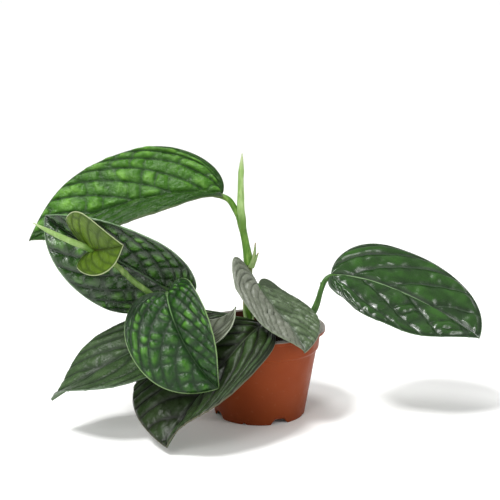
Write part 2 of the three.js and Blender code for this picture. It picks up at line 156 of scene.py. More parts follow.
class Finish:
    """A material whose node chain is built one step at a time."""

    def __init__(self, name, roughness, specular):
        self.material = bpy.data.materials.new(name)
        self.material.use_nodes = True
        self.tree = self.material.node_tree
        self.shader = self.tree.nodes["Principled BSDF"]
        self.shader.inputs["Roughness"].default_value = roughness
        self.shader.inputs["Specular IOR Level"].default_value = specular

    def set(self, socket, value):
        """Links a socket to another one, or gives it a plain value."""
        if isinstance(value, bpy.types.NodeSocket):
            self.tree.links.new(value, socket)
        else:
            socket.default_value = value

    def measure(self, name):
        """A number that the mesh carries at each point."""
        node = self.tree.nodes.new("ShaderNodeAttribute")
        node.attribute_name = name
        return node.outputs["Fac"]

    def place(self):
        """The point's own coordinates on the object."""
        return self.tree.nodes.new("ShaderNodeTexCoord").outputs["Object"]

    def height(self):
        """The point's height above the floor."""
        split = self.tree.nodes.new("ShaderNodeSeparateXYZ")
        self.set(split.inputs["Vector"], self.place())
        return split.outputs["Z"]

    def cloud(self, size, detail=3.0, stretch=(1, 1, 1)):
        """A soft random pattern whose patches are about that many metres across."""
        moved = self.tree.nodes.new("ShaderNodeMapping")
        moved.inputs["Scale"].default_value = stretch
        self.set(moved.inputs["Vector"], self.place())
        node = self.tree.nodes.new("ShaderNodeTexNoise")
        node.inputs["Scale"].default_value = 1 / size
        node.inputs["Detail"].default_value = detail
        self.set(node.inputs["Vector"], moved.outputs["Vector"])
        return node.outputs["Fac"]

    def remap(self, value, low, high, to_low=0.0, to_high=1.0):
        """value, stretched so that low becomes to_low and high becomes to_high, and held between."""
        node = self.tree.nodes.new("ShaderNodeMapRange")
        node.interpolation_type = "SMOOTHSTEP"
        for socket, number in zip(node.inputs[1:5], (low, high, to_low, to_high)):
            socket.default_value = number
        self.set(node.inputs["Value"], value)
        return node.outputs["Result"]

    def times(self, first, second):
        """The product of two numbers."""
        node = self.tree.nodes.new("ShaderNodeMath")
        node.operation = "MULTIPLY"
        self.set(node.inputs[0], first)
        self.set(node.inputs[1], second)
        return node.outputs["Value"]

    def blend(self, share, under, over):
        """A colour that goes from under to over as share goes from 0 to 1."""
        node = self.tree.nodes.new("ShaderNodeMix")
        node.data_type = "RGBA"
        self.set(node.inputs["Factor"], share)
        self.set(node.inputs["A"], paint(under) if isinstance(under, str) else under)
        self.set(node.inputs["B"], paint(over) if isinstance(over, str) else over)
        return node.outputs["Result"]

    def colour(self, value):
        """The finish's colour: a hex code or the end of a chain of blends."""
        self.set(self.shader.inputs["Base Color"], paint(value) if isinstance(value, str) else value)

    def roughness(self, value):
        """A roughness that varies over the surface."""
        self.set(self.shader.inputs["Roughness"], value)

    def bump(self, height, depth):
        """Fine relief of about that many metres."""
        node = self.tree.nodes.new("ShaderNodeBump")
        node.inputs["Strength"].default_value = 1.0
        node.inputs["Distance"].default_value = depth
        self.set(node.inputs["Height"], height)
        self.set(self.shader.inputs["Normal"], node.outputs["Normal"])


# %% Floor
FLOOR_HALF = 60.0

floor_finish = Finish("floor_paint", 0.9, specular=0.1)
floor_finish.colour(floor_finish.blend(floor_finish.cloud(0.5), "fafaf9", "fdfdfc"))
floor_mesh = bpy.data.meshes.new("floor")
floor_corners = [(x * FLOOR_HALF, y * FLOOR_HALF, 0) for x, y in ((-1, -1), (1, -1), (1, 1), (-1, 1))]
floor_mesh.from_pydata(floor_corners, [], [(0, 1, 2, 3)])
floor_mesh.materials.append(floor_finish.material)
floor = bpy.data.objects.new("floor", floor_mesh)
bpy.context.collection.objects.link(floor)

# %% [markdown]
# ## From numbers to a piece
#
# Each piece ends the same way: its mesh becomes an object at the origin, it gets its finish, it is
# put on the body that it moves with, and the plain solids that it stands for are hidden. One
# function does this, so that no piece is forgotten.


# %% Make a mesh, and hand a piece over
MERGE_MM = 0.0004  # points closer than this are one point


def mesh_of(name, points, faces):
    """A smooth mesh from points in millimetres, its coincident points merged."""
    keys = np.round(np.asarray(points) / MERGE_MM).astype(np.int64)
    _, first, merged = np.unique(keys, axis=0, return_index=True, return_inverse=True)
    kept = [list(dict.fromkeys(merged.ravel()[list(face)].tolist())) for face in faces]
    mesh = bpy.data.meshes.new(name)
    mesh.from_pydata(np.asarray(points)[first] * MM, [], [face for face in kept if len(face) > 2])
    mesh.shade_smooth()
    return mesh, first


def measure_points(mesh, name, values):
    """Stores one number at each point of the mesh."""
    mesh.attributes.new(name, "FLOAT", "POINT").data.foreach_set("value", np.asarray(values, "f"))


def hand_over(name, mesh, finish, slot, *nodes):
    """A finished piece, standing for the plain solids that it replaces."""
    mesh.materials.clear()
    mesh.materials.append(finish.material)
    piece = bpy.data.objects.new(name, mesh)
    bpy.context.collection.objects.link(piece)
    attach(piece, "root")
    if nodes:
        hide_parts(*nodes)
    mesh.calc_loop_triangles()
    corners = np.empty(3 * len(mesh.loop_triangles), np.int32)
    mesh.loop_triangles.foreach_get("vertices", corners)
    points = np.empty(3 * len(mesh.vertices), np.float32)
    mesh.vertices.foreach_get("co", points)
    a, b, c = points.reshape(-1, 3)[corners.reshape(-1, 3)].astype(float).transpose(1, 0, 2)
    volume = (a * np.cross(b, c)).sum() / 6 * 1e6
    print(f"{name}: {len(mesh.loop_triangles)} triangles, {volume:.2f} cubic centimetres")
    return piece


# %% [markdown]
# ## The outline of a blade
#
# A heart-shaped leaf is drawn here as two halves, one on each side of the midrib, because the two
# halves of a real leaf are never quite alike. Each half is a margin made of two cubic curves: one
# goes from the base round the lobe to the widest place, the other on to the tip. Side veins run
# out from the midrib to that margin, and bend towards the tip on the way. A point of the blade is
# named by the vein that it lies on (v, from 0 at the base to 1 at the tip) and by how far out it
# is along that vein (s, from 0 at the midrib to 1 at the margin).
#
# The blades could also be drawn as flat pictures and cut out, but a formula gives a mesh whose
# rows follow the veins, and the quilting needs exactly that.

# %% Shape shared by all blades
LOBE_SHARE = 0.45
LOBE_REACH = 1.6
LOBE_SPREAD = 0.35
LOBE_ROUND = 0.62
TIP_ROUND = 0.55
TIP_POINT = 0.16
VEIN_START = 0.34
VEIN_CROWDING = 1.35
VEIN_LEAN = 0.38
VEIN_BEND = 0.6


def cubic(controls, t):
    """Points t of the cubic curve with four control points."""
    t = np.asarray(t, float)[..., None]
    a, b, c, d = (np.asarray(point, float) for point in controls)
    return (1 - t) ** 3 * a + 3 * (1 - t) ** 2 * t * b + 3 * (1 - t) * t * t * c + t ** 3 * d


def margin(leaf, which, length, v):
    """The margin of a flat half blade, as x along the midrib and y away from it."""
    half, lobe = leaf["half"][which], leaf["lobe"][which]
    waist = leaf["widest"] * length
    back = [(0, 0), (-LOBE_REACH * lobe, LOBE_SPREAD * half),
            (waist - LOBE_ROUND * (waist + lobe), half), (waist, half)]
    front = [(waist, half), (waist + TIP_ROUND * (length - waist), half),
             (length - TIP_POINT * length, leaf["full"] * half), (length, 0)]
    behind = v < LOBE_SHARE
    on_back = cubic(back, np.where(behind, v / LOBE_SHARE, 0))
    on_front = cubic(front, np.where(behind, 0, (v - LOBE_SHARE) / (1 - LOBE_SHARE)))
    return np.where(behind[..., None], on_back, on_front)


def flat_half(leaf, which, length, v, s):
    """x and y on the flat half blade, for arrays v and s."""
    edge = margin(leaf, which, length, v)
    start = np.clip((v - VEIN_START) / (1 - VEIN_START), 0, None) ** VEIN_CROWDING * length
    bend_x = start + (edge[..., 0] - start) * VEIN_LEAN
    near, middle, far = (1 - s) ** 2, 2 * s * (1 - s), s * s
    x = near * start + middle * bend_x + far * edge[..., 0]
    y = middle * VEIN_BEND * edge[..., 1] + far * edge[..., 1]
    return x, y


# %% [markdown]
# ## Bending the blade
#
# A flat blade becomes a hanging one in three moves: the midrib follows a curve in space, each half
# is raised or lowered about it like the page of a book, and some halves curl on their way to the
# margin. `bend_half` does all three for every point at once, and also gives the direction that the
# upper side faces there, which the quilting is pushed along.

# %% Bend a half blade along its midrib
RIB_STEPS = 400


def measured_rib(leaf):
    """The midrib's points, directions and lengths so far, and its whole length."""
    points = cubic(leaf["rib"], np.linspace(0, 1, RIB_STEPS + 1))
    directions = np.gradient(points, axis=0)
    directions /= np.linalg.norm(directions, axis=1, keepdims=True)
    steps = np.linalg.norm(np.diff(points, axis=0), axis=1)
    travelled = np.concatenate([[0], np.cumsum(steps)])
    return points, directions, travelled / travelled[-1], travelled[-1]


def unit(vectors):
    return vectors / np.linalg.norm(vectors, axis=-1, keepdims=True)


def bend_half(leaf, which, rib, x, y):
    """Points of a half blade and the way that its upper side faces there."""
    points, directions, shares, length = rib
    share = np.clip(x / length, 0, 1)
    centre = np.stack([np.interp(share, shares, points[:, k]) for k in range(3)], -1)
    tangent = unit(np.stack([np.interp(share, shares, directions[:, k]) for k in range(3)], -1))
    face_base, face_tip = np.array(leaf["face"], float)
    face = face_base + (face_tip - face_base) * share[..., None]
    across = unit(np.cross(face, tangent))
    normal = np.cross(tangent, across)
    side = (1, -1)[which]
    fold_base, fold_tip = np.radians(leaf["fold"][which])
    raised = fold_base + (fold_tip - fold_base) * share
    curl = math.radians(leaf["cup"][which]) / leaf["half"][which] or 1e-6
    turned = raised + curl * y
    out = (np.sin(turned) - np.sin(raised)) / curl
    lift = (np.cos(raised) - np.cos(turned)) / curl
    beyond = (x - share * length)[..., None]
    place = centre + tangent * beyond + across * side * out[..., None] + normal * lift[..., None]
    facing = normal * np.cos(turned)[..., None] - across * side * np.sin(turned)[..., None]
    return place, facing


def upright(leaf, rib, x):
    """The way that the blade faces at its midrib, between its two halves."""
    left, right = (bend_half(leaf, which, rib, x, np.zeros_like(x))[1] for which in (0, 1))
    return unit(left + right)


# %% [markdown]
# ## Quilting
#
# Between its sunken side veins such a leaf swells into rows of pillows, because the soft tissue
# grows faster than the veins that hold it. Two things make it look right: the pillows stand in
# rows between neighbouring side veins, and each row is divided by cross veins at its own places.
#
# Bump in the material would do for a distant view, but the silhouette and the highlights of these
# leaves come from real relief, so it is made in the mesh. `quilt` gives the height of every point,
# and with it the numbers that the finish needs: how near the point is to a vein, to the midrib and
# to the margin, and how high it stands on its pillow.

# %% Random heights and slopes for the quilting
def scatter(*indices):
    """A fixed random number from 0 to 1 for each set of whole numbers."""
    mixed = sum(np.asarray(index, float) * step for index, step in zip(indices, (12.9898, 78.233, 37.719)))
    return np.modf(np.abs(np.sin(mixed) * 43758.5453))[0]


def eased(share):
    """A share from 0 to 1 that starts and stops gently."""
    return share * share * (3 - 2 * share)


def rounded(share, sharpness):
    """A pillow's profile: 0 where share is 0 or 1, and 1 between, steeper if sharpness is high."""
    return 1 - np.abs(2 * share - 1) ** sharpness


def blisters(x, y, size, seed):
    """Smooth random heights from 0 to 1, in bumps about that many millimetres across."""
    column, line = np.floor(x / size), np.floor(y / size)
    over, up = eased(x / size - column), eased(y / size - line)
    near = scatter(column, line, seed) * (1 - over) + scatter(column + 1, line, seed) * over
    far = scatter(column, line + 1, seed) * (1 - over) + scatter(column + 1, line + 1, seed) * over
    return near * (1 - up) + far * up


def slope(field, x, y):
    """How fast a grid's field changes along x and along y."""
    field_v, field_s = np.gradient(field)
    x_v, x_s = np.gradient(x)
    y_v, y_s = np.gradient(y)
    area = x_v * y_s - x_s * y_v
    area = np.where(np.abs(area) < 1e-6, 1e-6, area)
    return np.stack([field_v * y_s - field_s * y_v, field_s * x_v - field_v * x_s], -1) / area[..., None]


# %% Rows of pillows, and the pillows of a row
HALF_SHIFT = 0.35  # the right half's rows start this far on, so the two halves don't mirror
WAVER = 0.05  # how far a side vein wavers, as a share of its row
WAVER_RUN = 9  # the length of vein on which it wavers by one radian
SKEW_LIMIT = 30  # keeps slanting rows in bounds where they narrow to nothing
PITCH_LEAST, PITCH_EXTRA = 0.85, 0.3  # a row's pillow length, as a share of the leaf's
SWELL_LEAST, SWELL_EXTRA = 0.7, 0.6  # a pillow's height, as a share of the leaf's
CROSS_DEPTH = 0.8  # depth of a cross vein's crease, as a share of a side vein's


def rows_of_pillows(leaf, which, x, y, v, s, out):
    """The row of each point, how far across the row it is, the row's width there, and how far
    along the row it is."""
    swing = leaf["arch"] * s ** 1.2
    row = leaf["rows"][which] * (v - swing) / (1 - swing) + HALF_SHIFT * which
    row = row + WAVER * np.sin(out / WAVER_RUN + leaf["seed"] + which)
    lane, share = np.floor(row), row - np.floor(row)
    across = slope(row, x, y)
    steepness = np.maximum(np.linalg.norm(across, axis=-1), 1e-4)
    skew = (slope(out, x, y) * across).sum(-1) / steepness ** 2
    run = out - (share - 0.5) * np.clip(skew, -SKEW_LIMIT, SKEW_LIMIT)
    return lane, share, 1 / steepness, run


def pillows_of_row(leaf, which, lane, share, run):
    """How far along its pillow each point is, the pillow's length, how far it swells, and how deep
    the cross vein beside it is."""
    seed = leaf["seed"]
    pitch = leaf["pitch"] * (PITCH_LEAST + PITCH_EXTRA * scatter(lane, which, seed))
    cell = run / pitch + scatter(lane, seed, 7) + 0.12 * np.sin(3 * share + lane)
    cell = cell + 0.22 * np.sin(run / (0.45 * pitch) + 1.7 * lane + seed)
    middle = np.floor(cell - 0.5)
    onward = eased(cell - 0.5 - middle)
    before, after = (scatter(lane, middle + k, seed + 3 * which) for k in (0, 1))
    swelling = SWELL_LEAST + SWELL_EXTRA * (before * (1 - onward) + after * onward)
    depth = leaf["even"] + (1 - leaf["even"]) * scatter(lane, np.round(cell), seed + 5)
    return cell - np.floor(cell), pitch, swelling, depth * CROSS_DEPTH * leaf["cross"][which]


# %% Quilting of a half blade
CROSS_SHADE = 0.7  # how dark a cross vein is, as a share of a side vein
VEIN_WIDTH = 0.6
VEIN_RISE = 3  # a side vein reaches its full depth this far from the midrib
PILLOW_RISE = 4  # and a pillow its full height this far
MIDRIB_WIDTH = 0.9
MIDRIB_TAPER = 0.6  # the share of its width that is gone at the tip
MIDRIB_DEPTH = 0.35
MARGIN_WIDTH = 0.42
MARGIN_WAVE = 0.8  # how far the margin waves up and down
WAVE_RUN = 13  # the length of midrib on which it waves by one radian
WAVE_START = 30  # the wave has its full height this far from the base
FULL_ROW = 4.5  # a row narrower than this is less swollen


def line_at(distance, width):
    """1 on a line, and less and less beyond its width."""
    return np.exp(-(distance / width) ** 2)


def quilt(leaf, which, length, v, s):
    """Heights and finish measures on the half blade, for grids v and s."""
    x, y = flat_half(leaf, which, length, v, s)
    steps = np.hypot(np.diff(x, axis=1, prepend=x[:, :1]), np.diff(y, axis=1, prepend=y[:, :1]))
    out = np.cumsum(steps, axis=1)
    inward = out[:, -1:] - out
    lane, share, width, run = rows_of_pillows(leaf, which, x, y, v, s, out)
    cross, pitch, swelling, depth = pillows_of_row(leaf, which, lane, share, run)
    sharp = leaf["sharp"]
    crown = rounded(share, sharp) ** 0.75 * swelling * (1 - depth * (1 - rounded(cross, sharp)))
    crown = crown + leaf["crumple"] * (blisters(x, y, leaf["blister"], leaf["seed"] + which) - 0.5)
    shore = np.clip(inward / leaf["flat"], 0, 1) ** 1.5 * np.clip(y / PILLOW_RISE, 0, 1)
    amount = np.clip(width / FULL_ROW, 0, 1) * shore
    along = np.clip(x / length, 0, 1)
    rib = line_at(y, MIDRIB_WIDTH * (1 - MIDRIB_TAPER * along))
    vein = line_at(np.minimum(share, 1 - share) * width, VEIN_WIDTH) * np.clip(y / VEIN_RISE, 0, 1)
    net = CROSS_SHADE * depth * line_at(np.minimum(cross, 1 - cross) * pitch, VEIN_WIDTH) * amount
    height = leaf["swell"] * (amount * crown - leaf["sink"]) - MIDRIB_DEPTH * rib
    wave = MARGIN_WAVE * (out / (out + inward + 1e-9)) ** 3
    height += wave * np.sin(x / WAVE_RUN + 2.3 * which + leaf["seed"]) * np.clip(x / WAVE_START, 0, 1)
    return x, y, height, {
        "vein": np.maximum(np.maximum(vein, net), 0.8 * rib),
        "crown": amount * crown,
        "rib": rib,
        "rim": line_at(inward, MARGIN_WIDTH * leaf["hem"]),
        "half": np.full(x.shape, float(which)),
        "along": along,
    }


# %% [markdown]
# ## A blade as a closed skin
#
# The upper and the lower skin are the same grid, pushed apart by the blade's thickness and joined
# round the margin by a rounded hem. Below, the veins stand out as ridges and the midrib as a keel,
# which is how a real leaf carries its own weight.

# %% Grow a blade
STEP_MM = 0.95  # distance between grid lines
MARGIN_LONGER = 1.35  # a margin is about that many times as long as its midrib
COLUMN_CROWDING = 1.15  # above 1, the grid is finer near the midrib
SKIN = 0.7
KEEL = 1.5
KEEL_TAPER = 0.8  # the share of the keel that is gone at the tip
RIDGE = 0.35
FOLD_ROUND = 2.5  # the two halves turn into each other over this distance from the midrib


def grow_blade(name, leaf):
    """The mesh of a whole blade with its finish measures."""
    rib = measured_rib(leaf)
    length = rib[3]
    rows = int(MARGIN_LONGER * length / STEP_MM)
    points, faces, measures = [], [], {}
    for which in (0, 1):
        columns = int(leaf["half"][which] / STEP_MM)
        outward = np.linspace(0, 1, columns + 1) ** COLUMN_CROWDING
        v, s = np.meshgrid(np.linspace(0, 1, rows + 1), outward, indexing="ij")
        x, y, height, marks = quilt(leaf, which, length, v, s)
        place, facing = bend_half(leaf, which, rib, x, y)
        apart = np.clip(y / FOLD_ROUND, 0, 1)[..., None]
        facing = unit(facing * apart + upright(leaf, rib, x) * (1 - apart))
        edge_out = unit(np.diff(place[:, -2:], axis=1)[:, 0] + 1e-9)
        upper = place + facing * (height + SKIN / 2)[..., None]
        ridge = RIDGE * marks["vein"] + KEEL * marks["rib"] * (1 - KEEL_TAPER * marks["along"])
        lower = place + facing * (height - SKIN / 2 - ridge)[..., None]
        hem = place[:, -1] + facing[:, -1] * height[:, -1:] + edge_out * SKIN / 2
        skins = [np.concatenate([upper, hem[:, None]], 1), np.concatenate([lower, hem[:, None]], 1)]
        for under, skin in enumerate(skins):
            first = sum(len(part) for part in points)
            points.append(skin.reshape(-1, 3))
            index = first + np.arange(skin.shape[0] * skin.shape[1]).reshape(skin.shape[:2])
            quads = np.stack([index[:-1, :-1], index[1:, :-1], index[1:, 1:], index[:-1, 1:]], -1)
            if under != which:
                quads = quads[..., ::-1]
            faces.append(quads.reshape(-1, 4))
            for key, mark in marks.items():
                last = np.ones((len(mark), 1)) if key == "rim" else mark[:, -1:]
                measures.setdefault(key, []).append(np.concatenate([mark, last], 1).ravel())
            measures.setdefault("under", []).append(np.full(skin.shape[0] * skin.shape[1], float(under)))
    mesh, first = mesh_of(name, np.concatenate(points), np.concatenate(faces))
    for key, parts in measures.items():
        measure_points(mesh, key, np.concatenate(parts)[first])
    return mesh


# %% [markdown]
# ## The nine blades
#
# The midrib, facing, widths, lobes and folds are the solid model's own, so each fine blade lies
# inside the plain one. What is added here is the quilting: how many rows of pillows each half has,
# how long a pillow is (`pitch`), how far it swells, and how much of the swelling lies below the
# plain blade's middle (`sink`). The leaf that droops over the rim only swells upwards, so that it
# clears the pot.
#
# No two leaves of such a plant are quilted alike, so a blade may also say how far its side veins
# swing towards the tip (`arch`), how deep the cross veins of each half are (`cross`) and how alike
# (`even`), how square its pillows are (`sharp`), how crumpled its skin is (`crumple`) and in
# patches of what size (`blister`), and how wide the smooth band inside its margin (`flat`) and its
# pale hem (`hem`) are.

# %% Table of blades
USUAL = dict(arch=0.36, cross=(1, 1), even=0.35, sharp=2.6, crumple=0.35, blister=3.4, flat=1.6, hem=1)

LEAVES = {
    "upper": dict(
        rib=[(-34, 8, 202), (-74, 5, 213), (-158, 2, 188), (-207, -12, 164)],
        face=[(0, -0.45, 0.9), (-0.35, -0.65, 0.7)],
        half=(47, 51), lobe=(3, 3), fold=((32, 9), (28, 19)), cup=(0, 0), widest=0.37, full=0.5,
        rows=(8, 8), pitch=11, swell=2.8, sink=0.35, seed=1, crumple=0.5, cross=(0.5, 1)),
    "middle": dict(
        rib=[(-81, -38, 124), (-114, -45, 150), (-159, -59, 172), (-187, -38, 191)],
        face=[(0.1, -0.95, 0.3), (-0.05, -0.95, 0.25)],
        half=(42, 37), lobe=(10, 28), fold=((-18, 22), (30, 55)), cup=(0, 0), widest=0.34, full=0.52,
        rows=(7, 7), pitch=8, swell=2.6, sink=0.35, seed=2, even=0.6, sharp=2.0),
    "front": dict(
        rib=[(-80, -66, 129), (-79, -86, 120), (-62, -99, 77), (-35, -104, 56)],
        face=[(-0.1, -0.8, 0.6), (-0.05, -0.98, 0.15)],
        half=(31, 44), lobe=(18, 6), fold=((25, 27), (4, 12)), cup=(0, 0), widest=0.37, full=0.54,
        rows=(8, 8), pitch=6.5, swell=2.0, sink=0.35, seed=3, even=0.8, sharp=2.0),
    "drooping": dict(
        rib=[(2, -28, 90), (-10, -76, 100), (-58, -78, 37), (-79, -114, 8)],
        face=[(-0.15, -0.3, 0.95), (-0.7, -0.4, 0.6)],
        half=(40, 69), lobe=(-3, 9), fold=((-21, 31), (21, 30)), cup=(0, -25), widest=0.57, full=1.05,
        rows=(9, 13), pitch=22, swell=2.2, sink=0.0, seed=4, arch=0.3, cross=(0.4, 0.4)),
    "low": dict(
        rib=[(-74, -42, 91), (-104, -54, 78), (-147, -67, 59), (-183, -62, 32)],
        face=[(0, -0.8, 0.6), (0, -0.25, 0.95)],
        half=(37, 32), lobe=(6, 6), fold=((-4, 41), (7, 4)), cup=(0, 0), widest=0.5, full=0.48,
        rows=(5, 6), pitch=18, swell=1.7, sink=0.35, seed=5, cross=(0.3, 0.3)),
    "over_rim": dict(
        rib=[(-1, -16, 124), (6, -26, 109), (33, -45, 90), (39, -60, 74)],
        face=[(0.2, -0.35, 0.9), (0.25, -0.7, 0.65)],
        half=(39, 31), lobe=(12, 40), fold=((-20, -5), (10, 30)), cup=(0, 0), widest=0.45, full=0.53,
        rows=(13, 9), pitch=9, swell=2.2, sink=0.2, seed=6, crumple=1.0, cross=(0.35, 0.7)),
    "small": dict(
        rib=[(-53, -66, 81), (-45, -66, 91), (-28, -57, 95), (-22, -40, 110)],
        face=[(-0.45, -0.8, 0.35), (-0.6, -0.75, 0.3)],
        half=(17, 12), lobe=(5, 5), fold=((2, -9), (22, 29)), cup=(0, 0), widest=0.38, full=0.4,
        rows=(5, 5), pitch=14, swell=0.6, sink=0.3, seed=7, hem=4),
    "right": dict(
        rib=[(65, 2, 129), (104, 15, 129), (165, 6, 98), (197, -26, 78)],
        face=[(0, -0.63, 0.78), (0.15, -0.62, 0.77)],
        half=(48, 51), lobe=(-5, 13), fold=((0, 0), (10, 18)), cup=(0, 0), widest=0.34, full=0.9,
        rows=(6, 5), pitch=13, swell=3.0, sink=0.35, seed=8, crumple=0.6, blister=6, flat=5,
        cross=(0.3, 1), sharp=2.2),
    "young": dict(
        rib=[(-142, -70, 167), (-134, -86, 170), (-122, -103, 175), (-112, -104, 178)],
        face=[(-0.6, -0.7, 0.4), (0.2, -0.95, 0.25)],
        half=(39, 23), lobe=(18, 16), fold=((59, 33), (26, -14)), cup=(0, 0), widest=0.35, full=0.37,
        rows=(6, 6), pitch=12, swell=0.5, sink=0.3, seed=9),
}
LEAVES = {name: {**USUAL, **leaf} for name, leaf in LEAVES.items()}

# %% [markdown]
# ## Leaf finishes
#
# The upper side is a waxy skin over green tissue: smooth, so it shines. Its colour is painted darker
# in the creases between the pillows, as painted shade, and greener and paler on their crowns, as
# painted light: the light that goes through the swollen tissue and the sheen of the wax. The veins
# are darker lines in the creases, the margin is a thin pale hem, and the underside is paler. The
# leaf over the rim is painted grey-green, and one of its halves greyer still, as painted grazing
# sheen, and the half of the upper leaf that faces away from the light is painted darker, as painted
# shade. The youngest is still bronze. The wax has no coat of its own here: a plain gloss keeps the
# greens deep, where a coat on top would turn them milky.


# %% A leaf finish
def leaf_finish(name, crease, pillow, bright, vein, midrib, hem, under, roughness, specular=0.25,
                painted_half_light=None, pale_run=0.35, grain=0.0007, line=0.8):
    """Colours in the order in which they are laid on, from the crease up. The crease colour is
    painted shade, laid where a point stands low between the pillows, and the bright colour is
    painted light on the crowns: the sheen of the wax and the light that goes through the tissue.
    The half with a colour of its own is a half (0 to the left of the midrib, 1 to the right) and a
    colour that most of it takes, as painted shade where that half faces away from the light and as
    painted grazing sheen where it catches it. pale_run is the share of the midrib that is pale, and
    line is how strongly the veins are drawn."""
    finish = Finish(name, roughness, specular=specular)
    patch = finish.remap(finish.cloud(0.014, 4), 0.35, 0.7)
    # The crease colour is painted shade: a point is darker the lower it stands between the pillows.
    body = finish.blend(finish.remap(finish.measure("crown"), 0.05, 0.75), crease, pillow)
    # Painted light on the pillows' crowns, in random patches: the wax's sheen and light through the
    # tissue.
    crown_light = finish.times(finish.remap(finish.measure("crown"), 0.5, 1.1), patch)
    body = finish.blend(crown_light, body, bright)
    # One half may take its own colour: painted shade where it faces away, painted grazing sheen where it
    # catches light.
    if painted_half_light:
        half, code = painted_half_light
        share = finish.remap(finish.measure("half"), 1 - half, half, 0.0, 0.85)
        body = finish.blend(share, body, code)
    body = finish.blend(finish.times(finish.measure("vein"), line), body, vein)
    pale = finish.remap(finish.measure("along"), pale_run, pale_run + 0.15, 1.0, 0.15)
    stripe = finish.blend(pale, vein, midrib)
    body = finish.blend(finish.remap(finish.measure("rib"), 0.35, 0.95), body, stripe)
    mottle = finish.remap(finish.cloud(0.03, 2), 0.3, 0.75, 0.0, 0.35)
    body = finish.blend(mottle, body, crease)
    below = finish.blend(finish.times(finish.measure("vein"), 0.5), under, midrib)
    below = finish.blend(finish.remap(finish.measure("rib"), 0.2, 0.9), below, midrib)
    body = finish.blend(finish.measure("under"), body, below)
    body = finish.blend(finish.remap(finish.measure("rim"), 0.3, 0.9), body, hem)
    finish.colour(body)
    finish.roughness(finish.remap(finish.measure("vein"), 0.0, 0.8, roughness, roughness + 0.25))
    finish.bump(finish.cloud(0.0022, 4), grain)
    return finish


# Each finish lists crease (painted shade), pillow, bright (painted light on the crowns), vein, midrib,
# hem, underside.
LEAF_FINISHES = {
    "upper": leaf_finish(
        "bright_leaf", "1f400e", "3a671b", "6c9e3c", "15300a", "5c7d45", "4c5c38", "607750", 0.25, 0.2,
        # the half of the upper leaf that faces away from the light is painted darker, as painted shade
        painted_half_light=(0, "1c3d08"), grain=0.001),
    "front": leaf_finish(
        "front_leaf", "0e280a", "1a3f0d", "4c8225", "0d2408", "5a8045", "6e8a56", "5e774e", 0.28, 0.32,
        pale_run=0.2, line=0.35),
    "middle": leaf_finish(
        "shaded_leaf", "0f2608", "1f4010", "54862f", "0e2408", "4a6a3f", "64825a", "516848", 0.25, 0.65,
        line=0.3),
    "drooping": leaf_finish(
        "drooping_leaf", "12180a", "1f2f10", "38502a", "0f1508", "39482c", "4a4a36", "52654c", 0.36, 0.25,
        grain=0.0004),
    "low": leaf_finish(
        "low_leaf", "1b2d12", "2b431d", "476235", "1a2c15", "4c6443", "566a50", "596d51", 0.34, 0.35,
        line=0.4),
    # The greyish colours of this leaf are painted grazing sheen over its green.
    "over_rim": leaf_finish(
        "grey_sheen_leaf", "2c3c23", "465839", "6c7c60", "3c4930", "4c5943", "66705a", "6f7a68", 0.34, 0.45,
        # the right half of this leaf is painted grey, as painted grazing sheen
        painted_half_light=(1, "707267"), pale_run=0.0, line=0.6),
    "small": leaf_finish(
        "turned_leaf", "3c4132", "565c4a", "72786c", "2c3122", "7c8473", "8c9480", "656c5e", 0.45),
    "right": leaf_finish(
        "glossy_leaf", "0e2507", "1b3c0b", "2b5416", "1a3a10", "7c9a6c", "304e26", "516848", 0.27, 0.6,
        pale_run=0.55, grain=0.0001),
    "young": leaf_finish(
        "young_leaf", "344a0c", "49630f", "647f28", "384a10", "3f3c1a", "95a077", "54642d", 0.32, 0.15,
        line=0.5),
}

LEAF_SLOTS = {
    "upper": "leaf_green", "front": "leaf_green", "middle": "leaf_dark", "drooping": "leaf_dark",
    "low": "leaf_dark", "right": "leaf_dark", "over_rim": "leaf_pale", "small": "leaf_pale",
    "young": "leaf_young",
}

# %% Grow the nine blades
for leaf_name, leaf in LEAVES.items():
    blade_mesh = grow_blade(leaf_name, leaf)
    node_name = f"leaf_{leaf_name}"
    hand_over(f"blade_{leaf_name}", blade_mesh, LEAF_FINISHES[leaf_name], LEAF_SLOTS[leaf_name], node_name)

# %% [markdown]
# ## Stalks
#
# A leaf stalk is a tapering rod with a shallow channel along it. It is thicker where it leaves the
# stem and has a short swollen joint just below the blade, which turns the leaf to the light. The
# stalk is drawn as a smooth curve whose radius changes along it, and a node tree sweeps the
# grooved section along that curve. Sweeping by nodes keeps the section in one place: all ten
# stalks share it.

# %% A smooth path through a stalk's points
PATH_STEP_MM = 1.2


def between(start, end, t, first, last):
    """From start to end as t goes from first to last."""
    return start + (end - start) * (t - first) / (last - first)


def smooth_path(points):
    """The centripetal curve through the points, in even steps."""
    points = np.asarray(points, float)
    ends = [2 * points[0] - points[1]], [2 * points[-1] - points[-2]]
    points = np.concatenate([ends[0], points, ends[1]])
    knots = np.concatenate([[0], np.cumsum(np.linalg.norm(np.diff(points, axis=0), axis=1) ** 0.5)])
    parts = []
    for i in range(1, len(points) - 2):
        t = np.linspace(knots[i], knots[i + 1], 24, endpoint=i == len(points) - 3)[:, None]
        near = [between(points[k], points[k + 1], t, knots[k], knots[k + 1]) for k in (i - 1, i, i + 1)]
        wide = [between(near[k], near[k + 1], t, knots[i - 1 + k], knots[i + 1 + k]) for k in (0, 1)]
        parts.append(between(wide[0], wide[1], t, knots[i], knots[i + 1]))
    dense = np.concatenate(parts)
    travelled = np.concatenate([[0], np.cumsum(np.linalg.norm(np.diff(dense, axis=0), axis=1))])
    even = np.linspace(0, travelled[-1], max(8, int(travelled[-1] / PATH_STEP_MM)))
    return np.stack([np.interp(even, travelled, dense[:, k]) for k in range(3)], -1), travelled[-1]


